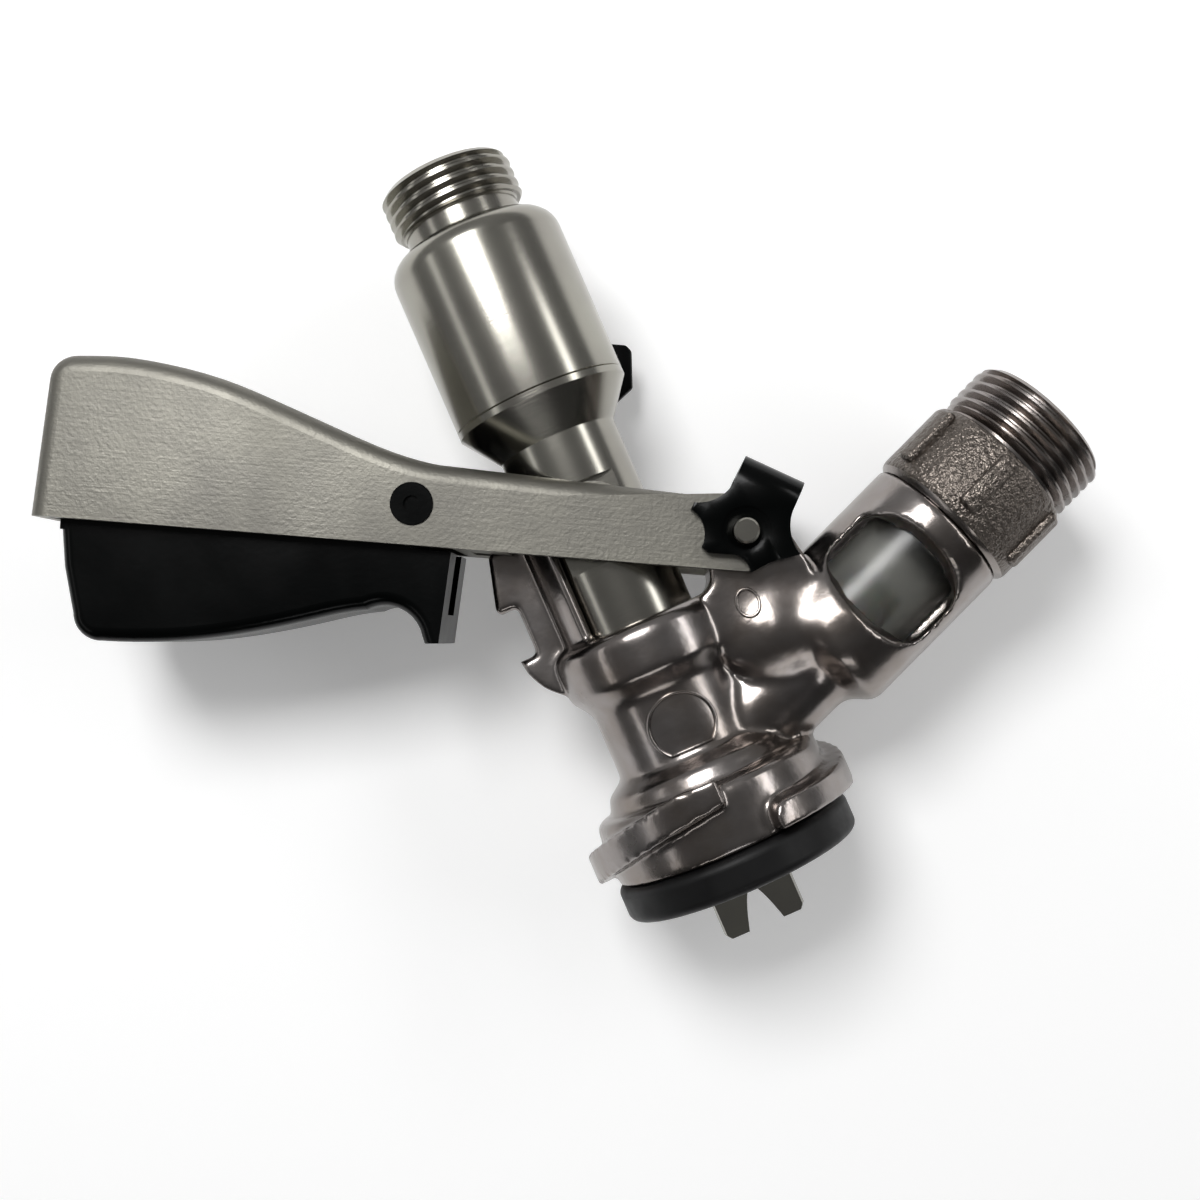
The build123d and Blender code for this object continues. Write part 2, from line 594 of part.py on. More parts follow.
def outlet_head():
    thread_start = HEAD_TOP_Z + OUTLET_NECK_H
    thread_end = thread_start + THREAD_58_H
    outer = [
        (HEAD_R - HEAD_WALL, HEAD_JOINT_Z + 0.05), (HEAD_R, HEAD_JOINT_Z + 0.05), (HEAD_R, HEAD_TOP_Z),
        (OUTLET_NECK_R, HEAD_TOP_Z), (OUTLET_NECK_R, thread_start),
        (THREAD_58_R - 0.4, thread_start), (THREAD_58_R, thread_start + 0.5),
        (THREAD_58_R, thread_end - THREAD_CHAMFER), (THREAD_58_R - THREAD_CHAMFER, thread_end),
        (OUTLET_BORE_R, thread_end), (OUTLET_BORE_R, HEAD_TOP_Z - HEAD_WALL),
        (HEAD_R - HEAD_WALL, HEAD_TOP_Z - HEAD_WALL - 3.2)]
    head = turned(outer)
    shoulder = [e for e in head.edges().filter_by(GeomType.CIRCLE)
                if abs(e.radius - HEAD_R) < 0.01 and e.center().Z > HEAD_TOP_Z - 1]
    return fillet(shoulder, HEAD_SHOULDER_R)


def head_oring():
    groove_z = HEAD_JOINT_Z + SPIGOT_H / 2
    outer = HEAD_R - HEAD_WALL - SEAL_GAP
    inner = HEAD_R - HEAD_WALL - SEAT_GAP - ORING_GROOVE
    half = ORING_GROOVE / 2 + 0.25
    return ring(outer, inner, groove_z - half, groove_z + half)


def ball_seat_z():
    return CONE_TOP_Z - BALL_SEAT_DEPTH


def ball_seat():
    r = HEAD_R - HEAD_WALL - SPIGOT_WALL - 1.5 * SEAT_GAP
    z = ball_seat_z()
    return turned([(BALL_SEAT_HOLE_R, z), (r, z), (r, z + BALL_SEAT_H), (BALL_R + 0.6, z + BALL_SEAT_H),
                   (BALL_SEAT_HOLE_R, z + BALL_SEAT_H - 1.6)])


def check_ball():
    """Ball that rests on the seat's inner cone."""
    rim = BALL_SEAT_HOLE_R
    z = ball_seat_z() + BALL_SEAT_H - 1.6
    lift = 0.15
    return Pos(0, 0, z + math.sqrt(BALL_R ** 2 - rim ** 2) + lift) * Sphere(BALL_R)


def ball_stop():
    """Ring with a cross bar that keeps the ball out of the outlet."""
    r = HEAD_R - HEAD_WALL - 0.05
    frame = ring(r, r - 1.6, STOP_Z, STOP_Z + STOP_H)
    middle = STOP_Z + STOP_H / 2
    for turn in (0, 90):
        frame += Rot(0, 0, turn) * (Pos(0, 0, middle) * Box(2 * r - 1.6, 1.8, STOP_H))
    return one(frame)


# ---- Handle ----
def grip_crown(drop=0.0, end_cut=0.0):
    """The swept top of the grip, from the straight plates to its rear corner."""
    start = (ROOF_START_S, GRIP_START_T - drop)
    corner = (GRIP_CORNER_S - end_cut, GRIP_TOP - 1.0 - drop)
    through = [(ROOF_START_S + share * (GRIP_CORNER_S - ROOF_START_S),
                GRIP_START_T + rise * (GRIP_TOP - GRIP_START_T) - drop)
               for share, rise in CROWN_RISE]
    return Spline(start, *through, corner, tangents=[(1, 0.10), (1, -0.10)])


def handle_outer():
    """Solid outer form: nose, straight plates and grip, rounded along the grip's edges."""
    crown = grip_crown()
    start = crown @ 0
    corner = crown @ 1
    foot = Vector(GRIP_END_S, PLATE_BOTTOM)
    outline = [
        Line((0, PLATE_BOTTOM), foot), Line(foot, corner), crown,
        Line(start, (8.0, PLATE_NOSE_TOP)),
        Line((8.0, PLATE_NOSE_TOP), (1.5, PLATE_NOSE_TOP + 0.6)),
        ThreePointArc((1.5, PLATE_NOSE_TOP + 0.6), (-6.2, 1.2), (0, PLATE_BOTTOM)),
    ]
    outer = slab(HAND * make_face(outline), PLATE_OUTER_Y)
    rear = [e for e in outer.edges() if near_hand(e, corner.X, corner.Y)]
    outer = fillet(rear, GRIP_CORNER_R)
    return fillet([e for e in outer.edges() if on_grip_rim(e)], GRIP_EDGE_R)


def near_hand(edge, s, t):
    """True where an edge runs across the handle at this place."""
    local = HAND.to_local_coords(edge.center())
    return abs(local.X - s) < 0.2 and abs(local.Y - t) < 0.2


def on_grip_rim(edge):
    """True for the outer edges round the grip's roof and rear."""
    local = HAND.to_local_coords(edge.center())
    outer = abs(abs(local.Z) - PLATE_OUTER_Y) < 0.01
    return outer and local.X > ROOF_START_S + 1 and local.Y > PLATE_BOTTOM + 1


def handle_hollow():
    """Space between the plates, under the roof and before the end wall."""
    end_wall = ROOF_T + 0.6
    crown = grip_crown(ROOF_T, end_wall)
    start = crown @ 0
    corner = crown @ 1
    floor = PLATE_BOTTOM - 1
    outline = [
        Line((ROOF_START_S, floor), (GRIP_END_S - end_wall, floor)),
        Line((GRIP_END_S - end_wall, floor), corner), crown, Line(start, (ROOF_START_S, floor)),
    ]
    under_roof = slab(HAND * make_face(outline), PLATE_INNER_Y)
    return under_roof + hand_box(-20, ROOF_START_S + 0.1, -30, 40, PLATE_INNER_Y)


def handle_frame():
    frame = handle_outer() - handle_hollow()
    bridge = hand_box(BRIDGE_START_S, BRIDGE_END_S, PLATE_BOTTOM, PLATE_BOTTOM + BRIDGE_T, PLATE_INNER_Y + 0.5)
    slot = hand_box(BRIDGE_START_S - 1, BRIDGE_END_S - 2.2, PLATE_BOTTOM - 1, PLATE_BOTTOM + BRIDGE_T + 1,
                    BRIDGE_SLOT_W / 2)
    frame += bridge - slot
    for side in (1, -1):
        low, high = sorted((side * LOBE_FACE_Y, side * (PLATE_INNER_Y + 0.5)))
        disc = hand_cylinder(LOBE_S, 0, LOBE_R, low, high)
        frame += disc & hand_box(LOBE_S - LOBE_HALF_W, LOBE_S + LOBE_HALF_W, -LOBE_R, LOBE_R, PLATE_OUTER_Y)
    reach = PLATE_OUTER_Y + 1
    frame -= hand_cylinder(0, 0, HINGE_PIN_R + PIN_GAP, -reach, reach)
    frame -= hand_cylinder(GUIDE_S, GUIDE_T, PLUG_R + PIN_GAP, -reach, reach)
    return one(frame)


def hinge_pin():
    half = PLATE_OUTER_Y + HINGE_PIN_PROUD
    pin = hand_cylinder(0, 0, HINGE_PIN_R, -half, half)
    ends = pin.edges().filter_by(GeomType.CIRCLE)
    return chamfer(ends, 0.3)


def guide_pin():
    return hand_cylinder(GUIDE_S, GUIDE_T, GUIDE_R, -PLATE_INNER_Y + 0.05, PLATE_INNER_Y - 0.05)


def guide_pin_plugs():
    plugs = []
    for side in (1, -1):
        low, high = sorted((side * PLATE_INNER_Y, side * (PLATE_OUTER_Y + PLUG_PROUD)))
        plug = hand_cylinder(GUIDE_S, GUIDE_T, PLUG_R, low, high)
        face = side * (PLATE_OUTER_Y + PLUG_PROUD)
        dimple_low, dimple_high = sorted((face - side * PLUG_DIMPLE, face + side))
        plug -= hand_cylinder(GUIDE_S, GUIDE_T, PLUG_DIMPLE_R, dimple_low, dimple_high)
        plugs.append(plug)
    return Compound(children=[one(p) for p in plugs])


def latch_spring():
    """Compression spring between the pawl's end wall and the guide pin."""
    pitch = SPRING_LENGTH / SPRING_TURNS
    path = Helix(pitch=pitch, height=SPRING_LENGTH, radius=SPRING_R)
    section = Plane(origin=path @ 0, z_dir=path % 0) * Circle(SPRING_WIRE_R)
    coil = sweep(section, path=path, is_frenet=True)
    start = GUIDE_S - GUIDE_R - SEAT_GAP - SPRING_WIRE_R - SPRING_LENGTH
    along = Plane(origin=HAND.from_local_coords((start, GUIDE_T, 0)), z_dir=HAND.x_dir)
    return along * coil


def star_outline():
    """Five-cornered star whose sides are drawn in between the corners."""
    lines = []
    for start, mid, end in STAR_SIDES:
        if mid is None:
            lines.append(Line(start, end))
        else:
            lines.append(ThreePointArc(start, mid, end))
    return make_face(lines)


def pin_clip():
    """Star-shaped clip over the hinge: two plates, an arch over the top, a tab at the back."""
    star = star_outline()
    star = star - Circle(CLIP_HOLE_R)
    near = HAND * (Pos(0, 0, -CLIP_FACE_Y - CLIP_T) * extrude(star, CLIP_T))
    recess = Pos(0, 0, -CLIP_FACE_Y - CLIP_T - 1) * extrude(
        Circle(CLIP_RECESS_R) + Pos(-2, -2.6) * Rot(0, 0, 52) * Rectangle(6.5, 4.4), 1 + CLIP_RECESS)
    near -= HAND * recess
    tab = [STAR_SIDES[0][0], STAR_SIDES[0][2], (-6.5, 1.0), (-8.9, -3.0), (-4.0, -4.4), (5.6, -4.2),
           (9.0, 0.0), (14.5, 6.0), (25.5, 26.0), (24.9, 32.2), (22.6, 33.8), (19.6, 33.6),
           (18.6, 30.0), (9.5, 9.0), (5.2, 7.0)]
    far_face = make_face(Polyline(*tab, close=True)) - Circle(CLIP_HOLE_R)
    far = HAND * (Pos(0, 0, CLIP_FACE_Y) * extrude(star, TAB_Y + TAB_T - CLIP_FACE_Y))
    far += HAND * (Pos(0, 0, TAB_Y) * extrude(far_face, TAB_T))
    return one(near + far + clip_arch())


def clip_arch():
    """Strap bent over the handle's end, along the star's top edge."""
    start = Vector(*STAR_SIDES[0][0])
    end = Vector(*STAR_SIDES[0][2])
    along = (end - start).normalized()
    across = Vector(-along.Y, along.X)
    if across.Y < 0:
        across = -across
    origin = HAND.from_local_coords((start.X, start.Y, 0))
    x_dir = HAND.z_dir
    z_dir = HAND.from_local_coords((along.X, along.Y, 0)) - HAND.origin
    arch_plane = Plane(origin=origin, x_dir=x_dir, z_dir=z_dir)
    up = HAND.from_local_coords((across.X, across.Y, 0)) - HAND.origin
    sign = 1 if arch_plane.y_dir.dot(up) > 0 else -1
    half = CLIP_FACE_Y + CLIP_T
    foot = -0.8 * sign
    top = sign * ARCH_RISE
    under = sign * (ARCH_RISE - ARCH_T)
    section = make_face(FilletPolyline(
        (-half, foot), (-half, top), (half, top), (half, foot), radius=ARCH_CORNER_R).edges() + [
        Line((half, foot), (half - CLIP_T, foot))] + FilletPolyline(
        (half - CLIP_T, foot), (half - CLIP_T, under), (CLIP_T - half, under), (CLIP_T - half, foot),
        radius=ARCH_CORNER_R - ARCH_T).edges() + [Line((CLIP_T - half, foot), (-half, foot))])
    length = (end - start).length
    arch = extrude(arch_plane * section, length)
    slot = arch_plane.offset(length / 2) * (Pos(0, top) * Box(ARCH_SLOT_L, 8 * ARCH_T, ARCH_SLOT_W))
    return arch - slot


# ---- Latch ----
def latch_grip():
    outline = [
        Line((HOOK_FACE_S, LATCH_TOP), (LATCH_END_S, LATCH_TOP)),
        Line((LATCH_END_S, LATCH_TOP), (LATCH_END_S - 1.0, LATCH_BEND_T)),
        Line((LATCH_END_S - 1.0, LATCH_BEND_T), (LATCH_END_S - 3.0, -21.6)),
        ThreePointArc((LATCH_END_S - 3.0, -21.6), (106.9, -24.6), (103.4, -25.7)),
        Spline((103.4, -25.7), (90, -24.6), (79, -22.3), (69, -19.4), (60.5, -17.2),
               tangents=[(-1, 0.02), (-1, 0.16)]),
        ThreePointArc((60.5, -17.2), (53.6, -17.4), (51.2, -20.8)),
        Line((51.2, -20.8), (50.7, -22.0)),
        Line((50.7, -22.0), (48.2, -21.8)),
        Line((48.2, -21.8), (HOOK_FACE_S, LATCH_TOP)),
    ]
    grip = slab(HAND * make_face(outline), LATCH_HALF_W)
    grip = round_latch_edges(grip)
    upper = hand_box(TONGUE_END_S - TONGUE_ROOT_L, LATCH_END_S - 0.4, LATCH_TOP - SHOULDER_LAP,
                     SHOULDER_TOP, LATCH_HALF_W)
    grip += upper
    hollow = slab(HAND * make_face([
        Line((TONGUE_END_S, 0), (108.6, 0)), Line((108.6, 0), (106.6, -20.0)),
        Spline((106.6, -20.0), (90, -21.6), (79, -19.6), (TONGUE_END_S, -16.0)),
        Line((TONGUE_END_S, -16.0), (TONGUE_END_S, 0))]), LATCH_HALF_W - LATCH_WALL)
    grip -= hollow
    tongue = hand_box(PAWL_TIP_S + 4.4, TONGUE_END_S + 2, PAWL_BOTTOM, TONGUE_TOP, PAWL_HALF_W)
    tongue += hand_box(PAWL_TIP_S, PAWL_TIP_S + 5, PAWL_BOTTOM, PAWL_TIP_TOP, PAWL_HALF_W)
    tongue += hand_box(TONGUE_END_S - TONGUE_ROOT_L, TONGUE_END_S + 2, LATCH_TOP - SHOULDER_LAP,
                       TONGUE_TOP - 1, PAWL_HALF_W)
    grip += tongue
    slot_start = GUIDE_S - GUIDE_R - 0.1
    slot_end = GUIDE_S + GUIDE_R + LATCH_TRAVEL + 0.1
    grip -= hand_box(slot_start + GUIDE_R, slot_end - GUIDE_R, GUIDE_T - GUIDE_R - 0.1,
                     GUIDE_T + GUIDE_R + 0.1, 20)
    for s in (slot_start + GUIDE_R, slot_end - GUIDE_R):
        grip -= hand_cylinder(s, GUIDE_T, GUIDE_R + 0.1, -20, 20)
    bore_depth = SPRING_LENGTH + 2 * SPRING_WIRE_R + 2 * SEAT_GAP
    bore = Plane(origin=HAND.from_local_coords((GUIDE_S - GUIDE_R, GUIDE_T, 0)), z_dir=-HAND.x_dir)
    grip -= rod(SPRING_R + SPRING_WIRE_R + 0.15, -1, bore_depth, bore)
    grip -= hand_box(HOOK_FACE_S - 1, HOOK_FACE_S + NOSE_SLOT_DEPTH, NOSE_SLOT_BOTTOM, LATCH_TOP + 1,
                     NOSE_SLOT_HALF_W)
    return one(grip)


def round_latch_edges(grip):
    """Round the long lower edges that the fingers close round."""
    picked = []
    for edge in grip.edges():
        local = HAND.to_local_coords(edge.center())
        outer = abs(abs(local.Z) - LATCH_HALF_W) < 0.01
        if outer and local.X > HOOK_FACE_S + 2.4 and local.Y < LATCH_TOP - 1:
            picked.append(edge)
    return fillet(picked, LATCH_EDGE_R)


NODES = {
    "body_casting": body_casting,
    "keg_seal": keg_seal,
    "probe_oring_lower": lambda: probe_oring(oring_heights()[0]),
    "probe_oring_upper": lambda: probe_oring(oring_heights()[1]),
    "sight_glass": sight_glass,
    "sight_glass_seal_inner": lambda: sight_glass_seal(glass_pocket_start()),
    "sight_glass_seal_outer": lambda: sight_glass_seal(glass_end()),
    "gas_check_valve": gas_check_valve,
    "gas_union": gas_union,
    "probe_tube": probe_tube,
    "probe_tip_seal": probe_tip_seal,
    "outlet_head": outlet_head,
    "head_oring": head_oring,
    "ball_seat": ball_seat,
    "check_ball": check_ball,
    "ball_stop": ball_stop,
    "handle_frame": handle_frame,
    "hinge_pin": hinge_pin,
    "guide_pin": guide_pin,
    "guide_pin_plugs": guide_pin_plugs,
    "pin_clip": pin_clip,
    "latch_grip": latch_grip,
    "latch_spring": latch_spring,
}

os.makedirs("parts", exist_ok=True)
for name, make in NODES.items():
    export_step(make(), os.path.join("parts", name + ".step"))
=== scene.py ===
# %% [markdown]
# # Dressing a keg coupler
# A keg coupler is the fitting that a bar hangs on a beer keg. A plated brass casting turns
# into the keg's neck, a stainless probe slides down through it to open the keg, and a lever
# with a latched grip pushes the probe down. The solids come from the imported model. This file
# gives them their finishes and makes the detail that was left to it: the two pipe threads,
# the ribs of the union, the melted edges and the two bare frames of the casting, and the
# bent tab of the clip.

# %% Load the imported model
import json
import math

import bpy
from mathutils import Matrix, Vector

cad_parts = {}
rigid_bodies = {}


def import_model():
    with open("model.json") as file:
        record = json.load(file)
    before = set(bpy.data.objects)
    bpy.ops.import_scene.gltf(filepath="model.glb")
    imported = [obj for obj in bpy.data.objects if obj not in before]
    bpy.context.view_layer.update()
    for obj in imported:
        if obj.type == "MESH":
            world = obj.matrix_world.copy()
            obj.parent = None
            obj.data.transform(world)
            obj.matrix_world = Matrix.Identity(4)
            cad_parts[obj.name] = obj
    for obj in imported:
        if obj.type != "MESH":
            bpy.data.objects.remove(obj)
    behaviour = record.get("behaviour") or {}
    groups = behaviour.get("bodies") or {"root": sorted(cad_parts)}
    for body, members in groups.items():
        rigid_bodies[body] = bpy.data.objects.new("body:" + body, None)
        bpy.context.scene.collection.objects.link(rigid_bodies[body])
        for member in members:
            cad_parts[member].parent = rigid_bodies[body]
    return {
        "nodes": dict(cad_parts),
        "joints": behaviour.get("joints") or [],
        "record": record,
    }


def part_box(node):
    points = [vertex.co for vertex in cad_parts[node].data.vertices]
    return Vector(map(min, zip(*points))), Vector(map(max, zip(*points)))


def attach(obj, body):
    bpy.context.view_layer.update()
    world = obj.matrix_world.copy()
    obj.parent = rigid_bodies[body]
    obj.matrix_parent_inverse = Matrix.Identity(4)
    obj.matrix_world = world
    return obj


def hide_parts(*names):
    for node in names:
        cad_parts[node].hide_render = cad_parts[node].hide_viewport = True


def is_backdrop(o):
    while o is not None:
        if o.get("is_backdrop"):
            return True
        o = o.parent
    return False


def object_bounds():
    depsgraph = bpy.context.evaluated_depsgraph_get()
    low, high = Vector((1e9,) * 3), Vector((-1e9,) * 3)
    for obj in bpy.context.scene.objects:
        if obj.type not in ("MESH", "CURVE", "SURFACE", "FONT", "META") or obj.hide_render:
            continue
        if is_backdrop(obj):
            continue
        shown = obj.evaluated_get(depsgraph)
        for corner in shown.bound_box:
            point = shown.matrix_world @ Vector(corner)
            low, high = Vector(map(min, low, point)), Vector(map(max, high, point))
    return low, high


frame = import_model()
nodes = frame["nodes"]
mounts = {mount["name"]: mount for mount in frame["record"]["mounts"]}
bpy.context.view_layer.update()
MM = 0.001
print("nodes:", len(nodes), "mounts:", sorted(mounts))

# %% [markdown]
# ## Where things are
# Three directions rule this object: the probe stands along Z, the gas arm leans away from
# it, and the handle rises on the other side. The arm's direction is the gas thread's own
# axis, and the handle's is the line along which its latch slides, so both are read from the
# record and stay right when the model changes. Both point away from the probe.

# %% Axes of the arm and of the handle
arm_axis = Vector(mounts["gas_inlet"]["axis"]).normalized()
arm_foot = Vector(mounts["gas_inlet"]["pos_m"])
arm_foot -= arm_axis * (arm_foot.x / arm_axis.x)
joints = {joint["name"]: joint for joint in frame["joints"]}
handle_axis = Vector(joints["latch_slide"]["axis"]).normalized()
hinge = Vector(joints["handle_lift"]["pos_m"])
arm_lean = math.degrees(arm_axis.angle(Vector((0, 0, 1))))
print("arm leans", round(arm_lean, 1), "degrees from the probe")

# %% [markdown]
# ## Small helpers
# Modelling with operators acts on whatever is selected, so each piece starts from an empty
# selection. A finished piece is brought back to the origin with its place in its mesh, as
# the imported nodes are.

# %% Select, edit, finish and cut a piece
MERGE_GAP = 0.001 * MM


def start_clean():
    if bpy.context.mode != "OBJECT":
        bpy.ops.object.mode_set(mode="OBJECT")
    bpy.ops.object.select_all(action="DESELECT")


def only(piece):
    start_clean()
    piece.select_set(True)
    bpy.context.view_layer.objects.active = piece


def edit_all():
    """Opens the active piece in edit mode with all of it selected."""
    bpy.ops.object.mode_set(mode="EDIT")
    bpy.ops.mesh.select_all(action="SELECT")


def stop_editing():
    bpy.ops.object.mode_set(mode="OBJECT")


def settle(piece, name):
    """Names a piece and puts its place into its mesh."""
    only(piece)
    piece.name = name
    piece.data.name = name
    bpy.ops.object.transform_apply(location=True, rotation=True, scale=True)
    return piece


def apply_modifiers(piece):
    only(piece)
    for modifier in list(piece.modifiers):
        bpy.ops.object.modifier_apply(modifier=modifier.name)


def soften(piece, angle=35):
    only(piece)
    bpy.ops.object.shade_smooth_by_angle(angle=math.radians(angle))


def cut(piece, tool, operation="DIFFERENCE"):
    """Cuts or joins with another shape, which is used up."""
    boolean = piece.modifiers.new("cut", "BOOLEAN")
    boolean.object = tool
    boolean.operation = operation
    boolean.solver = "EXACT"
    apply_modifiers(piece)
    bpy.data.objects.remove(tool)


# %% [markdown]
# ## Turned shapes
# The head and the union are lathe work. A ring of points is pushed from station to station
# along the outline, as a potter draws up a wall, and the last ring meets the first, so the
# wall is closed. A spin of a drawn outline gives the same shape, but needs the outline as
# loose edges first.

# %% Draw up a turned wall
TURNED_SIDES = 144


def turned(name, stations):
    """Closed wall through stations, each of which is a radius and a height."""
    start_clean()
    radius, height = stations[0]
    bpy.ops.mesh.primitive_circle_add(vertices=TURNED_SIDES, radius=radius * MM,
                                      location=(0, 0, height * MM))
    piece = bpy.context.object
    bpy.ops.object.mode_set(mode="EDIT")
    for next_radius, next_height in stations[1:] + stations[:1]:
        step = (0, 0, (next_height - height) * MM)
        bpy.ops.mesh.extrude_region_move(TRANSFORM_OT_translate={"value": step})
        grow = next_radius / radius
        bpy.ops.transform.resize(value=(grow, grow, 1), center_override=(0, 0, 0))
        radius, height = next_radius, next_height
    bpy.ops.mesh.select_all(action="SELECT")
    bpy.ops.mesh.remove_doubles(threshold=MERGE_GAP)
    bpy.ops.mesh.normals_make_consistent(inside=False)
    stop_editing()
    return settle(piece, name)


def corner(radius, height, steps):
    """Stations round a corner, from steps outwards and upwards."""
    return [(radius + out, height + up) for out, up in steps]


# %% [markdown]
# ## Pipe threads
# Both outlets carry a fine pipe thread of 14 turns to the inch. A real one is cut by a tool
# that travels along the turning work, so here too the groove's outline is carried round and
# up by a Screw modifier, and the worm that this makes is cut out of the plain neck. Drawing
# the ridges on a thinner neck would take the same worm and leave a seam at its foot.

# %% Cut a thread
PITCH = 25.4 / 14
THREAD_DEPTH = 0.64 * PITCH
ROOT_FLAT = 0.14 * PITCH
CREST_FLAT = 0.22 * PITCH
PAST_CREST = 0.3
STEPS_PER_TURN = 96


def thread_worm(crest_radius, start, length):
    """Closed worm of the groove's outline, from start and up past length."""
    start_clean()
    bpy.ops.mesh.primitive_plane_add(size=1, rotation=(math.radians(90), 0, 0))
    worm = bpy.context.object
    bpy.ops.object.transform_apply(rotation=True)
    root = crest_radius - THREAD_DEPTH
    rim = crest_radius + PAST_CREST
    slope = (PITCH - CREST_FLAT - ROOT_FLAT) / 2 / THREAD_DEPTH
    rim_half = ROOT_FLAT / 2 + slope * (rim - root)
    for point in worm.data.vertices:
        outer = point.co.x > 0
        half = rim_half if outer else ROOT_FLAT / 2
        side = 1 if point.co.z > 0 else -1
        point.co = Vector((rim if outer else root, 0, start + side * half)) * MM
    edit_all()
    bpy.ops.mesh.delete(type="ONLY_FACE")
    stop_editing()
    screw = worm.modifiers.new("screw", "SCREW")
    screw.axis = "Z"
    screw.angle = math.radians(360)
    screw.screw_offset = PITCH * MM
    screw.iterations = math.ceil(length / PITCH) + 1
    screw.steps = STEPS_PER_TURN
    screw.render_steps = STEPS_PER_TURN
    screw.use_merge_vertices = False
    apply_modifiers(worm)
    edit_all()
    bpy.ops.mesh.fill_holes(sides=0)
    bpy.ops.mesh.select_all(action="SELECT")
    bpy.ops.mesh.normals_make_consistent(inside=False)
    stop_editing()
    return worm


# %% [markdown]
# ## Outlet head
# A stainless cup that screws on the probe: straight wall, rounded shoulder, neck and G 5/8
# thread. Its place, width and thread come from the solid's box and from the thread's mount.

# %% Turn the head and cut its thread
head_low, head_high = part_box("outlet_head")
head_r = head_high.x / MM
head_bottom = head_low.z / MM
head_top = head_high.z / MM
outlet_crest = mounts["beer_outlet"]["dims"]["r_mm"]
outlet_length = mounts["beer_outlet"]["dims"]["length_mm"]
outlet_middle = mounts["beer_outlet"]["pos_m"][2] / MM
THREAD_EDGE = 0.5
thread_bottom = outlet_middle - outlet_length / 2 - THREAD_EDGE
HEAD_WALL = 2.4
HEAD_EDGE = 0.25
SHOULDER_R = 4.2
SHOULDER_STEPS = 8
NECK_R = 10.0
NECK_H = 3.3
NECK_FOOT = 0.5
NECK_FLARE = 0.3
OUTLET_BORE_R = 7.6
OUTLET_CHAMFER = 0.9
BORE_EDGE = 0.5
CHAMBER_CONE_H = 3.2
FIRST_TURN_BELOW = 0.3 * PITCH


def shoulder(radius, top, fillet):
    """Stations of a quarter round from the wall in to the flat."""
    turns = [math.radians(90) * step / SHOULDER_STEPS for step in range(SHOULDER_STEPS + 1)]
    return [(radius - fillet + fillet * math.cos(turn), top - fillet + fillet * math.sin(turn))
            for turn in turns]


def outlet_head():
    flat = thread_bottom - NECK_H
    ceiling = flat - HEAD_WALL
    outside = corner(head_r, head_bottom, [(-HEAD_WALL, 0), (-HEAD_EDGE, 0), (0, HEAD_EDGE)])
    outside += shoulder(head_r, flat, SHOULDER_R)
    outside += corner(NECK_R, flat, [(NECK_FOOT, 0), (0, NECK_FOOT)])
    outside += corner(NECK_R, thread_bottom, [(0, -NECK_FLARE), (NECK_FLARE, 0)])
    outside += corner(outlet_crest, thread_bottom, [(-THREAD_EDGE, 0), (0, THREAD_EDGE)])
    outside += corner(outlet_crest, head_top, [(0, -OUTLET_CHAMFER), (-OUTLET_CHAMFER, 0)])
    inside = corner(OUTLET_BORE_R, head_top, [(BORE_EDGE, 0), (0, -BORE_EDGE)])
    inside += [(OUTLET_BORE_R, ceiling), (head_r - HEAD_WALL, ceiling - CHAMBER_CONE_H)]
    head = turned("outlet_head_threaded", outside + inside)
    cut(head, thread_worm(outlet_crest, thread_bottom - FIRST_TURN_BELOW, head_top - thread_bottom))
    soften(head)
    return head


head = outlet_head()
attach(head, "probe")
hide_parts("outlet_head")
print("head faces:", len(head.data.polygons))

# %% [markdown]
# ## Gas union
# The union keeps its rough cast skin between its machined ends, with six low ribs for a
# spanner. It is turned upright, gets its ribs and its G 3/4 thread, and is then laid along
# the arm. Its heights are distances along the arm, from where the arm's axis meets the
# probe's.

# %% Turn the union, add its ribs and cut its thread
gas_crest = mounts["gas_inlet"]["dims"]["r_mm"]
SPIGOT_R = 10.3
SPIGOT_START = 52.9
NUT_R = 13.85
NUT_START = 57.45
NUT_END = 71.9
NUT_BACK_ROUND = [(-1.1, 0), (-0.2, 0.9), (0, 1.6)]
NUT_FRONT_ROUND = [(0, -0.9), (-0.3, -0.3), (-0.9, 0)]
GAS_THREAD_FOOT = [(-1.2, 0), (-1.2, 0.7), (0, 1.5)]
FIRST_TURN_PAST_NUT = 0.9
UNION_END = 82.4
UNION_CHAMFER = 1.2
UNION_BORE_R = 8.0
UNION_SEAT = [(1.6, 0), (1.6, -1.6), (0, -2.4)]
RIBS = 6
FIRST_RIB_TURN = 90
RIB_WIDTH = 3.4
RIB_PROUD = 1.0
RIB_ROOT = 0.6
RIB_ROUND = 0.8
RIB_SHORTER = 3.6
RIB_FORWARD = 0.8


def round_edges(piece, width, segments=2, angle=30):
    bevel = piece.modifiers.new("bevel", "BEVEL")
    bevel.width = width * MM
    bevel.segments = segments
    bevel.limit_method = "ANGLE"
    bevel.angle_limit = math.radians(angle)
    apply_modifiers(piece)


def union_rib(turn):
    """Rounded bar that stands out of the nut, half sunk in it."""
    start_clean()
    spot = (NUT_R - RIB_ROOT, 0, (NUT_START + NUT_END) / 2 + RIB_FORWARD)
    bpy.ops.mesh.primitive_cube_add(size=1, location=Vector(spot) * MM)
    rib = bpy.context.object
    length = NUT_END - NUT_START - RIB_SHORTER
    rib.scale = Vector((2 * (RIB_PROUD + RIB_ROOT), RIB_WIDTH, length)) * MM
    bpy.ops.object.transform_apply(location=True, rotation=True, scale=True)
    round_edges(rib, RIB_ROUND, segments=4)
    rib.rotation_euler = (0, 0, math.radians(turn))
    return settle(rib, "rib")


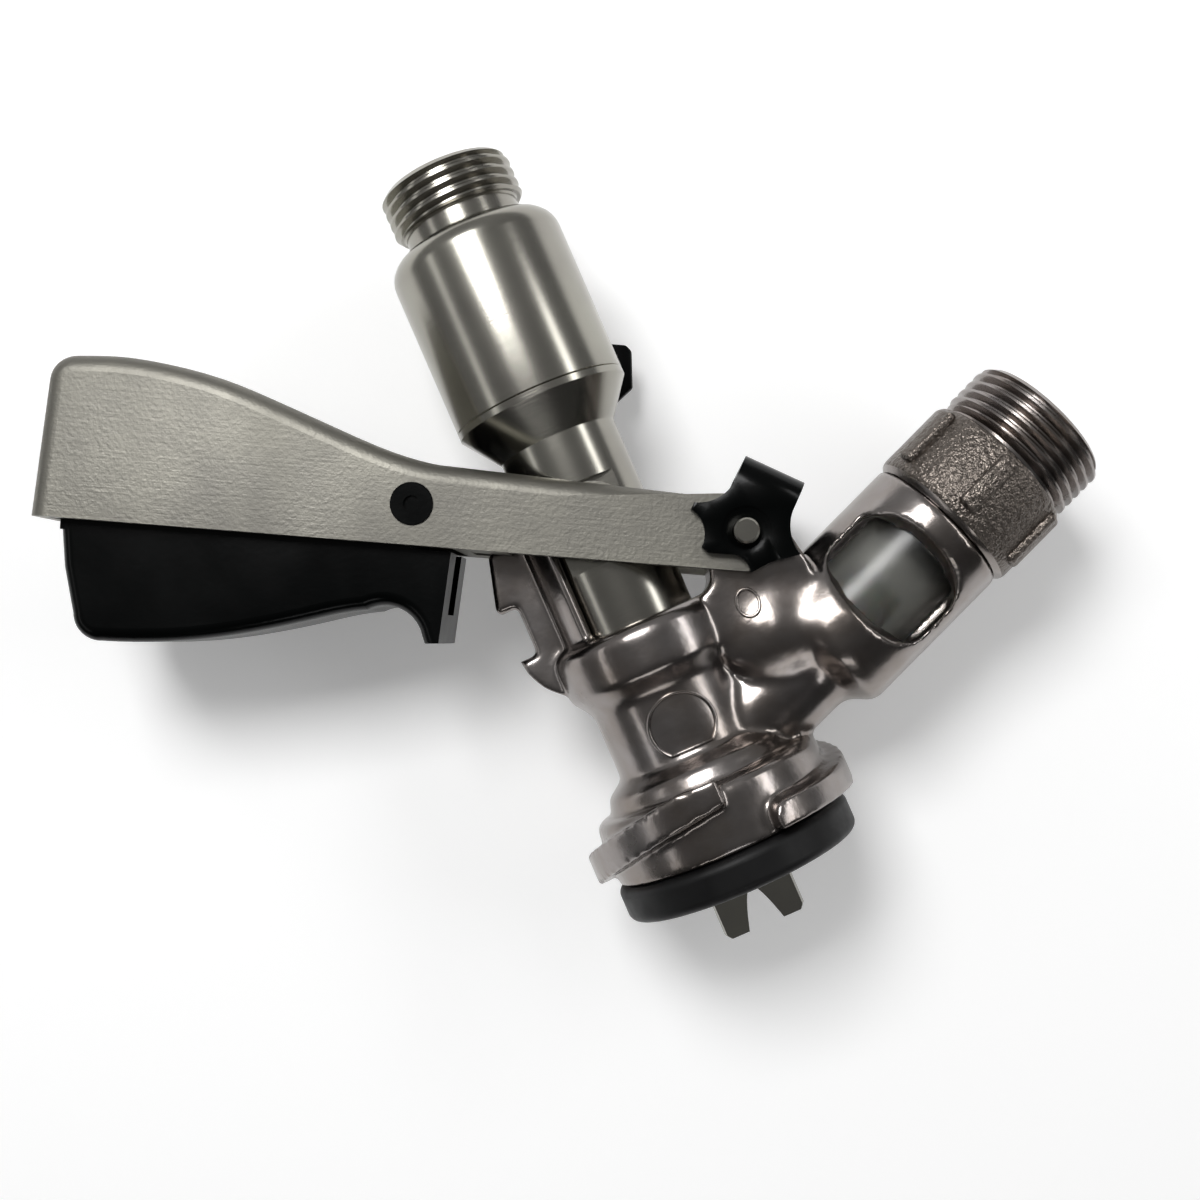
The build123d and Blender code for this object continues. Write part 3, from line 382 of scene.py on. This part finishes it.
def gas_union():
    stations = [(UNION_BORE_R, SPIGOT_START), (SPIGOT_R, SPIGOT_START), (SPIGOT_R, NUT_START)]
    stations += corner(NUT_R, NUT_START, NUT_BACK_ROUND)
    stations += corner(NUT_R, NUT_END, NUT_FRONT_ROUND)
    stations += corner(gas_crest, NUT_END, GAS_THREAD_FOOT)
    stations += corner(gas_crest, UNION_END, [(0, -UNION_CHAMFER), (-UNION_CHAMFER, 0)])
    stations += corner(UNION_BORE_R, UNION_END, UNION_SEAT)
    union = turned("gas_union_threaded", stations)
    for index in range(RIBS):
        cut(union, union_rib(FIRST_RIB_TURN + index * 360 / RIBS), "UNION")
    cut(union, thread_worm(gas_crest, NUT_END + FIRST_TURN_PAST_NUT, UNION_END - NUT_END))
    soften(union)
    turn = Vector((0, 0, 1)).rotation_difference(arm_axis).to_matrix().to_4x4()
    union.matrix_world = Matrix.Translation(arm_foot) @ turn
    return settle(union, "gas_union_threaded")


union = gas_union()
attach(union, "body")
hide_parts("gas_union")
print("union faces:", len(union.data.polygons))

# %% [markdown]
# ## The cast body
# A casting has no sharp corner anywhere: molten brass rounds every edge and fills every
# corner with a fillet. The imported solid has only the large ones. A copy of its mesh is
# merged, rebuilt on a fine grid of voxels, and smoothed, which rounds all edges at once and
# lets the arm, the web and the collar flow into each other. The corner between collar,
# sleeve and post has the widest fillet, so a vertex group lets that region melt further.

# %% Blend the casting
VOXEL = 0.5
SMOOTHING_ROUNDS = 8
WEB_CENTRE = (20.5, 11.5, 33.0)
WEB_REACH = (13.0, 6.5, 11.0)
WEB_ROUNDS = 130
WEB_RISE = 2


def merged_copy(node_name):
    """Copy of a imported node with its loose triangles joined, so that it can be reshaped."""
    only(nodes[node_name])
    bpy.ops.object.duplicate()
    copy = bpy.context.object
    bpy.ops.object.parent_clear(type="CLEAR_KEEP_TRANSFORM")
    edit_all()
    bpy.ops.mesh.remove_doubles(threshold=MERGE_GAP)
    stop_editing()
    return copy


def melt(piece, rounds, group=""):
    smooth = piece.modifiers.new("melt", "SMOOTH")
    smooth.factor = 0.5
    smooth.iterations = rounds
    smooth.vertex_group = group
    apply_modifiers(piece)


def mark_web(casting):
    """Vertex group that fades out from the middle of the web, on both sides of the casting."""
    group = casting.vertex_groups.new(name="web")
    for point in casting.data.vertices:
        x, y, z = point.co / MM
        from_web = Vector((x, abs(y), z)) - Vector(WEB_CENTRE)
        off = Vector([part / reach for part, reach in zip(from_web, WEB_REACH)]).length
        weight = min(1.0, WEB_RISE * (1 - off))
        if weight > 0:
            group.add([point.index], weight, "REPLACE")


def blended_casting():
    casting = merged_copy("body_casting")
    grid = casting.modifiers.new("grid", "REMESH")
    grid.mode = "VOXEL"
    grid.voxel_size = VOXEL * MM
    melt(casting, SMOOTHING_ROUNDS)
    mark_web(casting)
    melt(casting, WEB_ROUNDS, "web")
    bpy.ops.object.shade_smooth()
    return settle(casting, "body_casting_blended")


casting = blended_casting()
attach(casting, "body")
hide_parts("body_casting")
print("casting faces:", len(casting.data.polygons))

# %% [markdown]
# ## Bare cast marks
# Foundries raise small framed fields on a casting. Here they stay empty: a D-shaped frame on
# the waist and an oval one on the web. Each starts as a flat ring in front of the casting.
# A Shrinkwrap modifier lays it on the skin, and Solidify and Bevel make it a rounded bead.

# %% Lay a raised frame on the skin
FRAME_SIDES = 72
FRAME_IN_FRONT = -25
FRAME_WIDTH = 0.55
FRAME_THICKNESS = 0.8
FRAME_ROUND = 0.2
CHORD_MERGE = 0.01


def raised_frame(name, centre, half, chord):
    """Bead round an oval of these half sizes, which is cut flat at the height of its chord."""
    start_clean()
    x, z = centre
    bpy.ops.mesh.primitive_circle_add(vertices=FRAME_SIDES, radius=MM, fill_type="NGON",
                                      rotation=(math.radians(90), 0, 0),
                                      location=Vector((x, FRAME_IN_FRONT, z)) * MM)
    bead = bpy.context.object
    bead.scale = (*half, 1)
    bpy.ops.object.transform_apply(location=True, rotation=True, scale=True)
    for point in bead.data.vertices:
        point.co.z = max(point.co.z, chord * MM)
    edit_all()
    bpy.ops.mesh.remove_doubles(threshold=CHORD_MERGE * MM)
    bpy.ops.mesh.inset(thickness=FRAME_WIDTH * MM)
    bpy.ops.mesh.delete(type="FACE")
    stop_editing()
    lay = bead.modifiers.new("lay", "SHRINKWRAP")
    lay.target = casting
    lay.wrap_method = "PROJECT"
    lay.use_project_y = True
    lay.use_positive_direction = True
    lay.use_negative_direction = True
    wall = bead.modifiers.new("wall", "SOLIDIFY")
    wall.thickness = FRAME_THICKNESS * MM
    wall.offset = 0
    apply_modifiers(bead)
    round_edges(bead, FRAME_ROUND)
    soften(bead, angle=60)
    settle(bead, name)
    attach(bead, "body")
    return bead


marks = [raised_frame("waist_frame", (0.35, 24.6), (5.75, 5.6), 20.3),
         raised_frame("web_frame", (18.0, 38.4), (2.1, 2.6), 30.0)]
print("cast frames:", len(marks))

# %% [markdown]
# ## Clip and its release tab
# The clip keeps the hinge pin in. Its star, arch and recess are right as packed. The
# release tab behind the probe is bent: it runs along the handle's far plate, turns up
# behind the tube and ends in a thumb paddle. A copy of the clip loses its straight tab and
# gets this one, drawn as a flat outline in the handle's own directions. A low collar round
# the pin is added in the same way.

# %% Bend the tab
handle_up = Vector((handle_axis.z, 0, -handle_axis.x))
clip_front, clip_back = [edge.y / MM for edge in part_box("pin_clip")]
pin_low, pin_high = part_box("hinge_pin")
pin_r = (pin_high.x - pin_low.x) / 2 / MM
TAB = [(4.0, -3.6), (20.0, -3.6), (26.5, -1.5), (29.0, 3.0), (29.5, 26.0), (29.0, 32.0),
       (27.0, 34.0), (22.4, 34.0), (21.3, 33.0), (20.6, 26.4), (23.2, 23.6), (24.2, 20.0),
       (23.6, 7.0), (20.0, 3.4), (4.0, 3.4)]
TAB_THICKNESS = 1.6
TAB_ROUND = 0.4
ROUND_STRAIGHT_TAB = [(9.2, -20), (60, -20), (60, 60), (4.2, 60), (4.2, 9.4)]
CUT_PAST_FRONT = 0.4
CUT_PAST_BACK = 1
DISC_SIDES = 40
BACK_HOLE_WIDER = 1.25
BACK_HOLE_PAST = 0.2
COLLAR_WIDER = 1.5
COLLAR_FROM = 0.7
COLLAR_TO = 1.65
COLLAR_GAP = 0.12
COLLAR_CUT = 3
CLIP_ROUND = 0.22


def on_handle(along, up, y):
    """Point by its distances from the hinge along the handle and square to it."""
    return hinge + (handle_axis * along + handle_up * up + Vector((0, y, 0))) * MM


def flat_piece(outline, y_low, y_high):
    start_clean()
    bpy.ops.mesh.primitive_circle_add(vertices=len(outline), radius=MM, fill_type="NGON")
    piece = bpy.context.object
    for point, (along, up) in zip(piece.data.vertices, outline):
        point.co = on_handle(along, up, y_low)
    edit_all()
    thickness = (0, (y_high - y_low) * MM, 0)
    bpy.ops.mesh.extrude_region_move(TRANSFORM_OT_translate={"value": thickness})
    bpy.ops.mesh.select_all(action="SELECT")
    bpy.ops.mesh.normals_make_consistent(inside=False)
    stop_editing()
    return piece


def disc(radius):
    turns = [math.radians(360) * step / DISC_SIDES for step in range(DISC_SIDES)]
    return [(radius * math.cos(turn), radius * math.sin(turn)) for turn in turns]


def pin_collar():
    rim, hole = disc(pin_r + COLLAR_WIDER), disc(pin_r + COLLAR_GAP)
    collar = flat_piece(rim, clip_front + COLLAR_FROM, clip_front + COLLAR_TO)
    cut(collar, flat_piece(hole, clip_front, clip_front + COLLAR_CUT))
    return collar


def clip_with_tab():
    clip = merged_copy("pin_clip")
    front = clip_back - TAB_THICKNESS
    past_back = clip_back + CUT_PAST_BACK
    cut(clip, flat_piece(ROUND_STRAIGHT_TAB, front - CUT_PAST_FRONT, past_back))
    tab = flat_piece(TAB, front, clip_back)
    round_edges(tab, TAB_ROUND)
    cut(clip, tab, "UNION")
    cut(clip, flat_piece(disc(pin_r + BACK_HOLE_WIDER), front - BACK_HOLE_PAST, past_back))
    cut(clip, pin_collar(), "UNION")
    round_edges(clip, CLIP_ROUND, angle=40)
    soften(clip)
    return settle(clip, "pin_clip_bent_tab")


clip = clip_with_tab()
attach(clip, "handle")
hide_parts("pin_clip")
print("clip faces:", len(clip.data.polygons))

# %% [markdown]
# ## Finishes
# Colours are written as the hex values that a screen shows, and one function turns them to
# the linear values that the renderer works in. One more adds a node with its settings. Real
# surfaces are never even, so two helpers let the roughness or the colour drift a little over
# patches of a size that is given in millimetres.

# %% Colour, node and drift helpers
def linear(hex_colour):
    channels = [int(hex_colour[place:place + 2], 16) / 255 for place in (1, 3, 5)]
    return [c / 12.92 if c <= 0.04045 else ((c + 0.055) / 1.055) ** 2.4 for c in channels] + [1.0]


def add_node(tree, kind, inputs=(), links=(), **settings):
    node = tree.nodes.new(kind)
    for name, value in settings.items():
        setattr(node, name, value)
    for name, value in dict(inputs).items():
        node.inputs[name].default_value = value
    for name, socket in dict(links).items():
        tree.links.new(socket, node.inputs[name])
    return node


def new_finish(name, hex_colour, metallic, roughness):
    finish = bpy.data.materials.new(name)
    finish.use_nodes = True
    shader = finish.node_tree.nodes["Principled BSDF"]
    shader.inputs["Base Color"].default_value = linear(hex_colour)
    shader.inputs["Metallic"].default_value = metallic
    shader.inputs["Roughness"].default_value = roughness
    return finish, finish.node_tree, shader


def per_mm(size):
    """Texture scale whose features are this many millimetres across."""
    return 1 / (size * MM)


def vary_roughness(tree, shader, place, size, low, high):
    patches = add_node(tree, "ShaderNodeTexNoise", {"Scale": per_mm(size), "Detail": 4.0},
                       {"Vector": place})
    drift = add_node(tree, "ShaderNodeMapRange",
                     {"From Min": 0.3, "From Max": 0.7, "To Min": low, "To Max": high},
                     {"Value": patches.outputs["Fac"]})
    tree.links.new(drift.outputs["Result"], shader.inputs["Roughness"])


# The Mix node names its sockets alike for every type of data, so they go by number here: 0 is
# the factor, 6 and 7 are the two colours, and output 2 is the mixed colour.
MIX_FACTOR, MIX_DARK, MIX_PALE, MIXED_COLOUR = 0, 6, 7, 2


def vary_colour(tree, shader, place, size, dark, pale):
    patches = add_node(tree, "ShaderNodeTexNoise",
                       {"Scale": per_mm(size), "Detail": 5.0, "Roughness": 0.6}, {"Vector": place})
    spread = add_node(tree, "ShaderNodeMapRange", {"From Min": 0.35, "From Max": 0.65},
                      {"Value": patches.outputs["Fac"]})
    tint = add_node(tree, "ShaderNodeMix", {MIX_DARK: linear(dark), MIX_PALE: linear(pale)},
                    {MIX_FACTOR: spread.outputs["Result"]}, data_type="RGBA")
    tree.links.new(tint.outputs[MIXED_COLOUR], shader.inputs["Base Color"])


print("white in linear values:", linear("#ffffff"))

# %% [markdown]
# ## Nickel plate over cast brass
# The casting is smoothed and plated with nickel, which is warm and darker than chrome. The
# plate follows the cast skin, so reflections ripple a little, and handling leaves slightly
# duller patches. The union's nut was plated over its raw skin of sand, whose grain is about
# 0.3 mm. It is drawn at 0.8 mm, because finer grain doesn't show.

# %% Plated casting and sand cast nut
CAST_RIPPLE = 1.6
SAND_GRAIN = 0.8


def nickel_plated_brass():
    finish, tree, shader = new_finish("nickel plated brass", "#8d8680", 1.0, 0.24)
    place = add_node(tree, "ShaderNodeTexCoord").outputs["Object"]
    vary_roughness(tree, shader, place, 9, 0.18, 0.28)
    vary_colour(tree, shader, place, 12, "#857d77", "#979290")
    skin = add_node(tree, "ShaderNodeTexNoise", {"Scale": per_mm(CAST_RIPPLE), "Detail": 3.0},
                    {"Vector": place})
    ripple = add_node(tree, "ShaderNodeBump", {"Strength": 0.10, "Distance": 0.3 * MM},
                      {"Height": skin.outputs["Fac"]})
    tree.links.new(ripple.outputs["Normal"], shader.inputs["Normal"])
    return finish


def sand_cast_nickel():
    finish, tree, shader = new_finish("sand cast nickel", "#6d6660", 1.0, 0.3)
    place = add_node(tree, "ShaderNodeTexCoord").outputs["Object"]
    grains = add_node(tree, "ShaderNodeTexNoise",
                      {"Scale": per_mm(SAND_GRAIN), "Detail": 2.0, "Roughness": 0.6},
                      {"Vector": place})
    bumps = add_node(tree, "ShaderNodeBump", {"Strength": 1.0, "Distance": 0.5 * MM},
                     {"Height": grains.outputs["Fac"]})
    tree.links.new(bumps.outputs["Normal"], shader.inputs["Normal"])
    return finish


plated, sand_cast = nickel_plated_brass(), sand_cast_nickel()
print("made:", plated.name, "and", sand_cast.name)

# %% [markdown]
# ## Stainless steel
# Two finishes of one metal. The probe and head are turned: rings finer than 0.1 mm that only
# show as a soft spread of the highlights, so they are drawn 0.3 mm apart. The handle frame
# is cast and then brushed along its length, so it is satin, with long faint strokes over a
# fine peel.

# %% Turned and satin stainless
RING_SPACING = 0.3
RING_DRIFT = 50 / 3
STROKE_LENGTH = 12
STROKE_SPACING = 0.35
STROKE_SPACING_ACROSS = 0.8
CAST_PEEL = 0.6


def turned_stainless():
    finish, tree, shader = new_finish("turned stainless", "#989588", 1.0, 0.22)
    place = add_node(tree, "ShaderNodeTexCoord").outputs["Object"]
    vary_roughness(tree, shader, place, 20, 0.19, 0.24)
    vary_colour(tree, shader, place, 16, "#94918a", "#9f9d94")
    ring_scale = (per_mm(RING_DRIFT), per_mm(RING_DRIFT), per_mm(RING_SPACING))
    stretch = add_node(tree, "ShaderNodeMapping", {"Scale": ring_scale}, {"Vector": place})
    rings = add_node(tree, "ShaderNodeTexNoise", {"Scale": 1.0, "Detail": 2.0},
                     {"Vector": stretch.outputs["Vector"]})
    lines = add_node(tree, "ShaderNodeBump", {"Strength": 0.12, "Distance": 0.05 * MM},
                     {"Height": rings.outputs["Fac"]})
    tree.links.new(lines.outputs["Normal"], shader.inputs["Normal"])
    return finish


def satin_stainless():
    finish, tree, shader = new_finish("satin cast stainless", "#7e7c75", 1.0, 0.5)
    place = add_node(tree, "ShaderNodeTexCoord").outputs["Object"]
    vary_roughness(tree, shader, place, 18, 0.44, 0.56)
    vary_colour(tree, shader, place, 15, "#77756f", "#84827a")
    lean = math.atan2(handle_axis.z, -handle_axis.x)
    along = add_node(tree, "ShaderNodeMapping", {"Rotation": (0, -lean, 0)}, {"Vector": place})
    stroke_scale = [per_mm(size) for size in (STROKE_LENGTH, STROKE_SPACING_ACROSS, STROKE_SPACING)]
    stretch = add_node(tree, "ShaderNodeMapping", {"Scale": stroke_scale},
                       {"Vector": along.outputs["Vector"]})
    brushing = add_node(tree, "ShaderNodeTexNoise", {"Scale": 1.0, "Detail": 3.0},
                        {"Vector": stretch.outputs["Vector"]})
    peel = add_node(tree, "ShaderNodeTexNoise", {"Scale": per_mm(CAST_PEEL), "Detail": 2.0},
                    {"Vector": place})
    lines = add_node(tree, "ShaderNodeBump", {"Strength": 0.25, "Distance": 0.08 * MM},
                     {"Height": brushing.outputs["Fac"]})
    both = add_node(tree, "ShaderNodeBump", {"Strength": 0.4, "Distance": 0.12 * MM},
                    {"Height": peel.outputs["Fac"], "Normal": lines.outputs["Normal"]})
    tree.links.new(both.outputs["Normal"], shader.inputs["Normal"])
    return finish


turned_steel, satin_steel = turned_stainless(), satin_stainless()
print("made:", turned_steel.name, "and", satin_steel.name)

# %% [markdown]
# ## Plastics and rubber
# The grip, clip and plugs are moulded in black acetal with a soft gloss and the faint peel
# of the mould. The keg seal is matte rubber. The sight glass is a clear polycarbonate tube
# that use has made a little hazy, and the lip valve behind it is pale silicone.

# %% Black acetal, rubber, clear tube and silicone
MOULD_PEEL = 0.9


def black_acetal():
    finish, tree, shader = new_finish("black acetal", "#010202", 0.0, 0.22)
    place = add_node(tree, "ShaderNodeTexCoord").outputs["Object"]
    shader.inputs["Specular IOR Level"].default_value = 0.14
    vary_roughness(tree, shader, place, 12, 0.18, 0.27)
    mould = add_node(tree, "ShaderNodeTexNoise", {"Scale": per_mm(MOULD_PEEL), "Detail": 2.0},
                     {"Vector": place})
    peel = add_node(tree, "ShaderNodeBump", {"Strength": 0.12, "Distance": 0.1 * MM},
                    {"Height": mould.outputs["Fac"]})
    tree.links.new(peel.outputs["Normal"], shader.inputs["Normal"])
    return finish


def black_rubber():
    finish, tree, shader = new_finish("black rubber", "#060607", 0.0, 0.5)
    place = add_node(tree, "ShaderNodeTexCoord").outputs["Object"]
    shader.inputs["Specular IOR Level"].default_value = 0.3
    vary_roughness(tree, shader, place, 5, 0.4, 0.6)
    return finish


def clear_polycarbonate():
    finish, tree, shader = new_finish("clear polycarbonate", "#b8b8b4", 0.0, 0.3)
    shader.inputs["Transmission Weight"].default_value = 1.0
    shader.inputs["IOR"].default_value = 1.5
    return finish


def pale_silicone():
    finish, tree, shader = new_finish("pale silicone", "#c4c4bf", 0.0, 0.4)
    shader.inputs["Subsurface Weight"].default_value = 0.3
    shader.inputs["Subsurface Scale"].default_value = 2 * MM
    return finish


FINISH_OF_SLOT = {
    "plated_casting": plated,
    "turned_steel": turned_steel,
    "satin_steel": satin_steel,
    "black_rubber": black_rubber(),
    "grey_silicone": pale_silicone(),
    "clear_tube": clear_polycarbonate(),
    "black_plastic": black_acetal(),
}
print("finishes:", len(FINISH_OF_SLOT) + 1)

# %% [markdown]
# ## Painting the pieces
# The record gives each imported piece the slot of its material, and the new pieces take the
# slot of the ones that they replace. The union has two finishes. Its spigot, thread and
# mouth are machined, and the band between them is raw, so the faces of that band are picked
# by their place along the arm and their distance from its axis.

# %% Paint every piece
RAW_AFTER_START = 0.8
RAW_BEFORE_END = 0.2
RAW_DEPTH = 1.5


def paint(piece, *finishes):
    piece.data.materials.clear()
    for finish in finishes:
        piece.data.materials.append(finish)


for part in frame["record"]["subparts"]:
    paint(nodes[part["node"]], FINISH_OF_SLOT[part["material_slot"]])
paint(head, turned_steel)
paint(clip, FINISH_OF_SLOT["black_plastic"])
for piece in [casting] + marks:
    paint(piece, plated)
paint(union, plated, sand_cast)
raw_faces = 0
for face in union.data.polygons:
    along = (face.center - arm_foot).dot(arm_axis) / MM
    away = ((face.center - arm_foot) - arm_axis * along * MM).length / MM
    in_band = NUT_START + RAW_AFTER_START < along < NUT_END - RAW_BEFORE_END
    face.material_index = 1 if in_band and away > NUT_R - RAW_DEPTH else 0
    raw_faces += face.material_index
print("raw faces of the union:", raw_faces)

# %% [markdown]
# ## Table
# The coupler lies on its side on a white table, seen from straight above. The table is a
# large pale sheet behind it that shows only its front, so the other side of the coupler can
# still be looked at. A little glow lifts it to plain white where it is seen, straight or in
# metal or glass, and leaves it out of the light on the coupler, whose shadow stays.

# %% Table
TABLE_GAP = 1.0
TABLE_SIZE = 2.4
TABLE_GLOW = 0.18


def seen_directly(tree):
    """Is 1 for what the camera sees, straight or in metal or glass."""
    rays = add_node(tree, "ShaderNodeLightPath").outputs
    both = add_node(tree, "ShaderNodeMath", {},
                    {0: rays["Is Camera Ray"], 1: rays["Is Glossy Ray"]}, operation="MAXIMUM")
    every = add_node(tree, "ShaderNodeMath", {},
                     {0: both.outputs[0], 1: rays["Is Transmission Ray"]}, operation="MAXIMUM")
    return every.outputs[0]


def white_table():
    finish, tree, shader = new_finish("white table", "#ffffff", 0.0, 0.9)
    shader.inputs["Specular IOR Level"].default_value = 0.0
    lift = add_node(tree, "ShaderNodeMath", {1: TABLE_GLOW}, {0: seen_directly(tree)},
                    operation="MULTIPLY")
    glow = add_node(tree, "ShaderNodeEmission", {"Color": (1, 1, 1, 1)},
                    {"Strength": lift.outputs[0]})
    lit = add_node(tree, "ShaderNodeAddShader", {},
                   {0: shader.outputs["BSDF"], 1: glow.outputs["Emission"]})
    back = add_node(tree, "ShaderNodeNewGeometry").outputs["Backfacing"]
    clear = add_node(tree, "ShaderNodeBsdfTransparent").outputs["BSDF"]
    one_sided = add_node(tree, "ShaderNodeMixShader", {}, {0: back, 1: lit.outputs[0], 2: clear})
    surface = tree.nodes["Material Output"].inputs["Surface"]
    tree.links.new(one_sided.outputs["Shader"], surface)
    return finish


def table():
    start_clean()
    low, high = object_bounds()
    place = ((low.x + high.x) / 2, high.y + TABLE_GAP * MM, (low.z + high.z) / 2)
    bpy.ops.mesh.primitive_plane_add(size=TABLE_SIZE, location=place,
                                     rotation=(math.radians(90), 0, 0))
    sheet = bpy.context.object
    sheet.name = "table"
    paint(sheet, white_table())
    sheet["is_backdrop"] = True
    return sheet


print("table stands", round(table().location.y / MM, 1), "mm behind the probe")

# %% [markdown]
# ## Lamps and room
# A metal surface only shows what it reflects: large soft lamps give the broad highlights,
# and a darker room between them gives the contrast. The camera sees the room as white.

# %% Lamps and room
LAMPS = {
    "key lamp": ((-0.05, -0.60, 0.36), (0.28, 0.26), 3.4),
    "left lamp": ((-0.55, -0.35, 0.10), (0.08, 0.6), 0.22),
    "right lamp": ((0.55, -0.40, -0.05), (0.10, 0.6), 1.0),
    "low lamp": ((-0.10, -0.42, -0.55), (0.5, 0.12), 0.4),
}
ROOM_LOW = 0.05
ROOM_HIGH = 0.32
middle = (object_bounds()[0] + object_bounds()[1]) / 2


def soft_lamp(name, offset, size, power):
    """Rectangular lamp that is turned to the middle of the coupler."""
    start_clean()
    bpy.ops.object.light_add(type="AREA", location=middle + Vector(offset))
    lamp = bpy.context.object
    lamp.name = name
    lamp.data.shape = "RECTANGLE"
    lamp.data.size, lamp.data.size_y = size
    lamp.data.energy = power
    lamp.rotation_euler = Vector(offset).to_track_quat("Z", "Y").to_euler()


def room():
    """Dim grey room with a paler ceiling, which lies beyond the top of the coupler."""
    world = bpy.data.worlds.new("room")
    bpy.context.scene.world = world
    world.use_nodes = True
    tree = world.node_tree
    background = tree.nodes["Background"]
    place = add_node(tree, "ShaderNodeTexCoord").outputs["Generated"]
    heights = add_node(tree, "ShaderNodeSeparateXYZ", {}, {"Vector": place})
    fade = add_node(tree, "ShaderNodeMapRange",
                    {"From Min": -0.6, "From Max": 0.9, "To Min": ROOM_LOW, "To Max": ROOM_HIGH},
                    {"Value": heights.outputs["Z"]})
    seen = add_node(tree, "ShaderNodeLightPath").outputs["Is Camera Ray"]
    strength = add_node(tree, "ShaderNodeMix", {"B": 1.0},
                        {"Factor": seen, "A": fade.outputs["Result"]}, data_type="FLOAT")
    tree.links.new(strength.outputs["Result"], background.inputs["Strength"])
    background.inputs["Color"].default_value = (1, 1, 1, 1)


for lamp_name, (offset, size, power) in LAMPS.items():
    soft_lamp(lamp_name, offset, size, power)
room()
print("lamps:", len(LAMPS))

# %% [markdown]
# ## Camera
# The camera hangs over the middle of the table and is rolled, so that the probe leans to the
# left and the handle lies nearly level. The shifts slide the view without turning it, in
# shares of its width.

# %% Camera
CAMERA_AT = (1.0, -254.0, 39.2)
FOCAL_MM = 45
SENSOR_MM = 36
ROLL = 23.49651
SHIFT_RIGHT = -1 / 24
SHIFT_UP = 1 / 30
NEAREST = 0.01
FARTHEST = 10


def camera():
    start_clean()
    bpy.ops.object.camera_add(location=Vector(CAMERA_AT) * MM)
    eye = bpy.context.object
    eye.data.lens = FOCAL_MM
    eye.data.sensor_width = SENSOR_MM
    eye.data.shift_x = SHIFT_RIGHT
    eye.data.shift_y = SHIFT_UP
    roll = math.radians(ROLL)
    right = Vector((math.cos(roll), 0, -math.sin(roll)))
    up = Vector((math.sin(roll), 0, math.cos(roll)))
    back = Vector((0, -1, 0))
    turn = Matrix((right, up, back)).transposed().to_4x4()
    eye.matrix_world = Matrix.Translation(Vector(CAMERA_AT) * MM) @ turn
    eye.data.clip_start = NEAREST
    eye.data.clip_end = FARTHEST
    bpy.context.scene.camera = eye


camera()
bpy.context.scene.view_settings.view_transform = "Standard"
print("camera is", -CAMERA_AT[1], "mm above the probe")
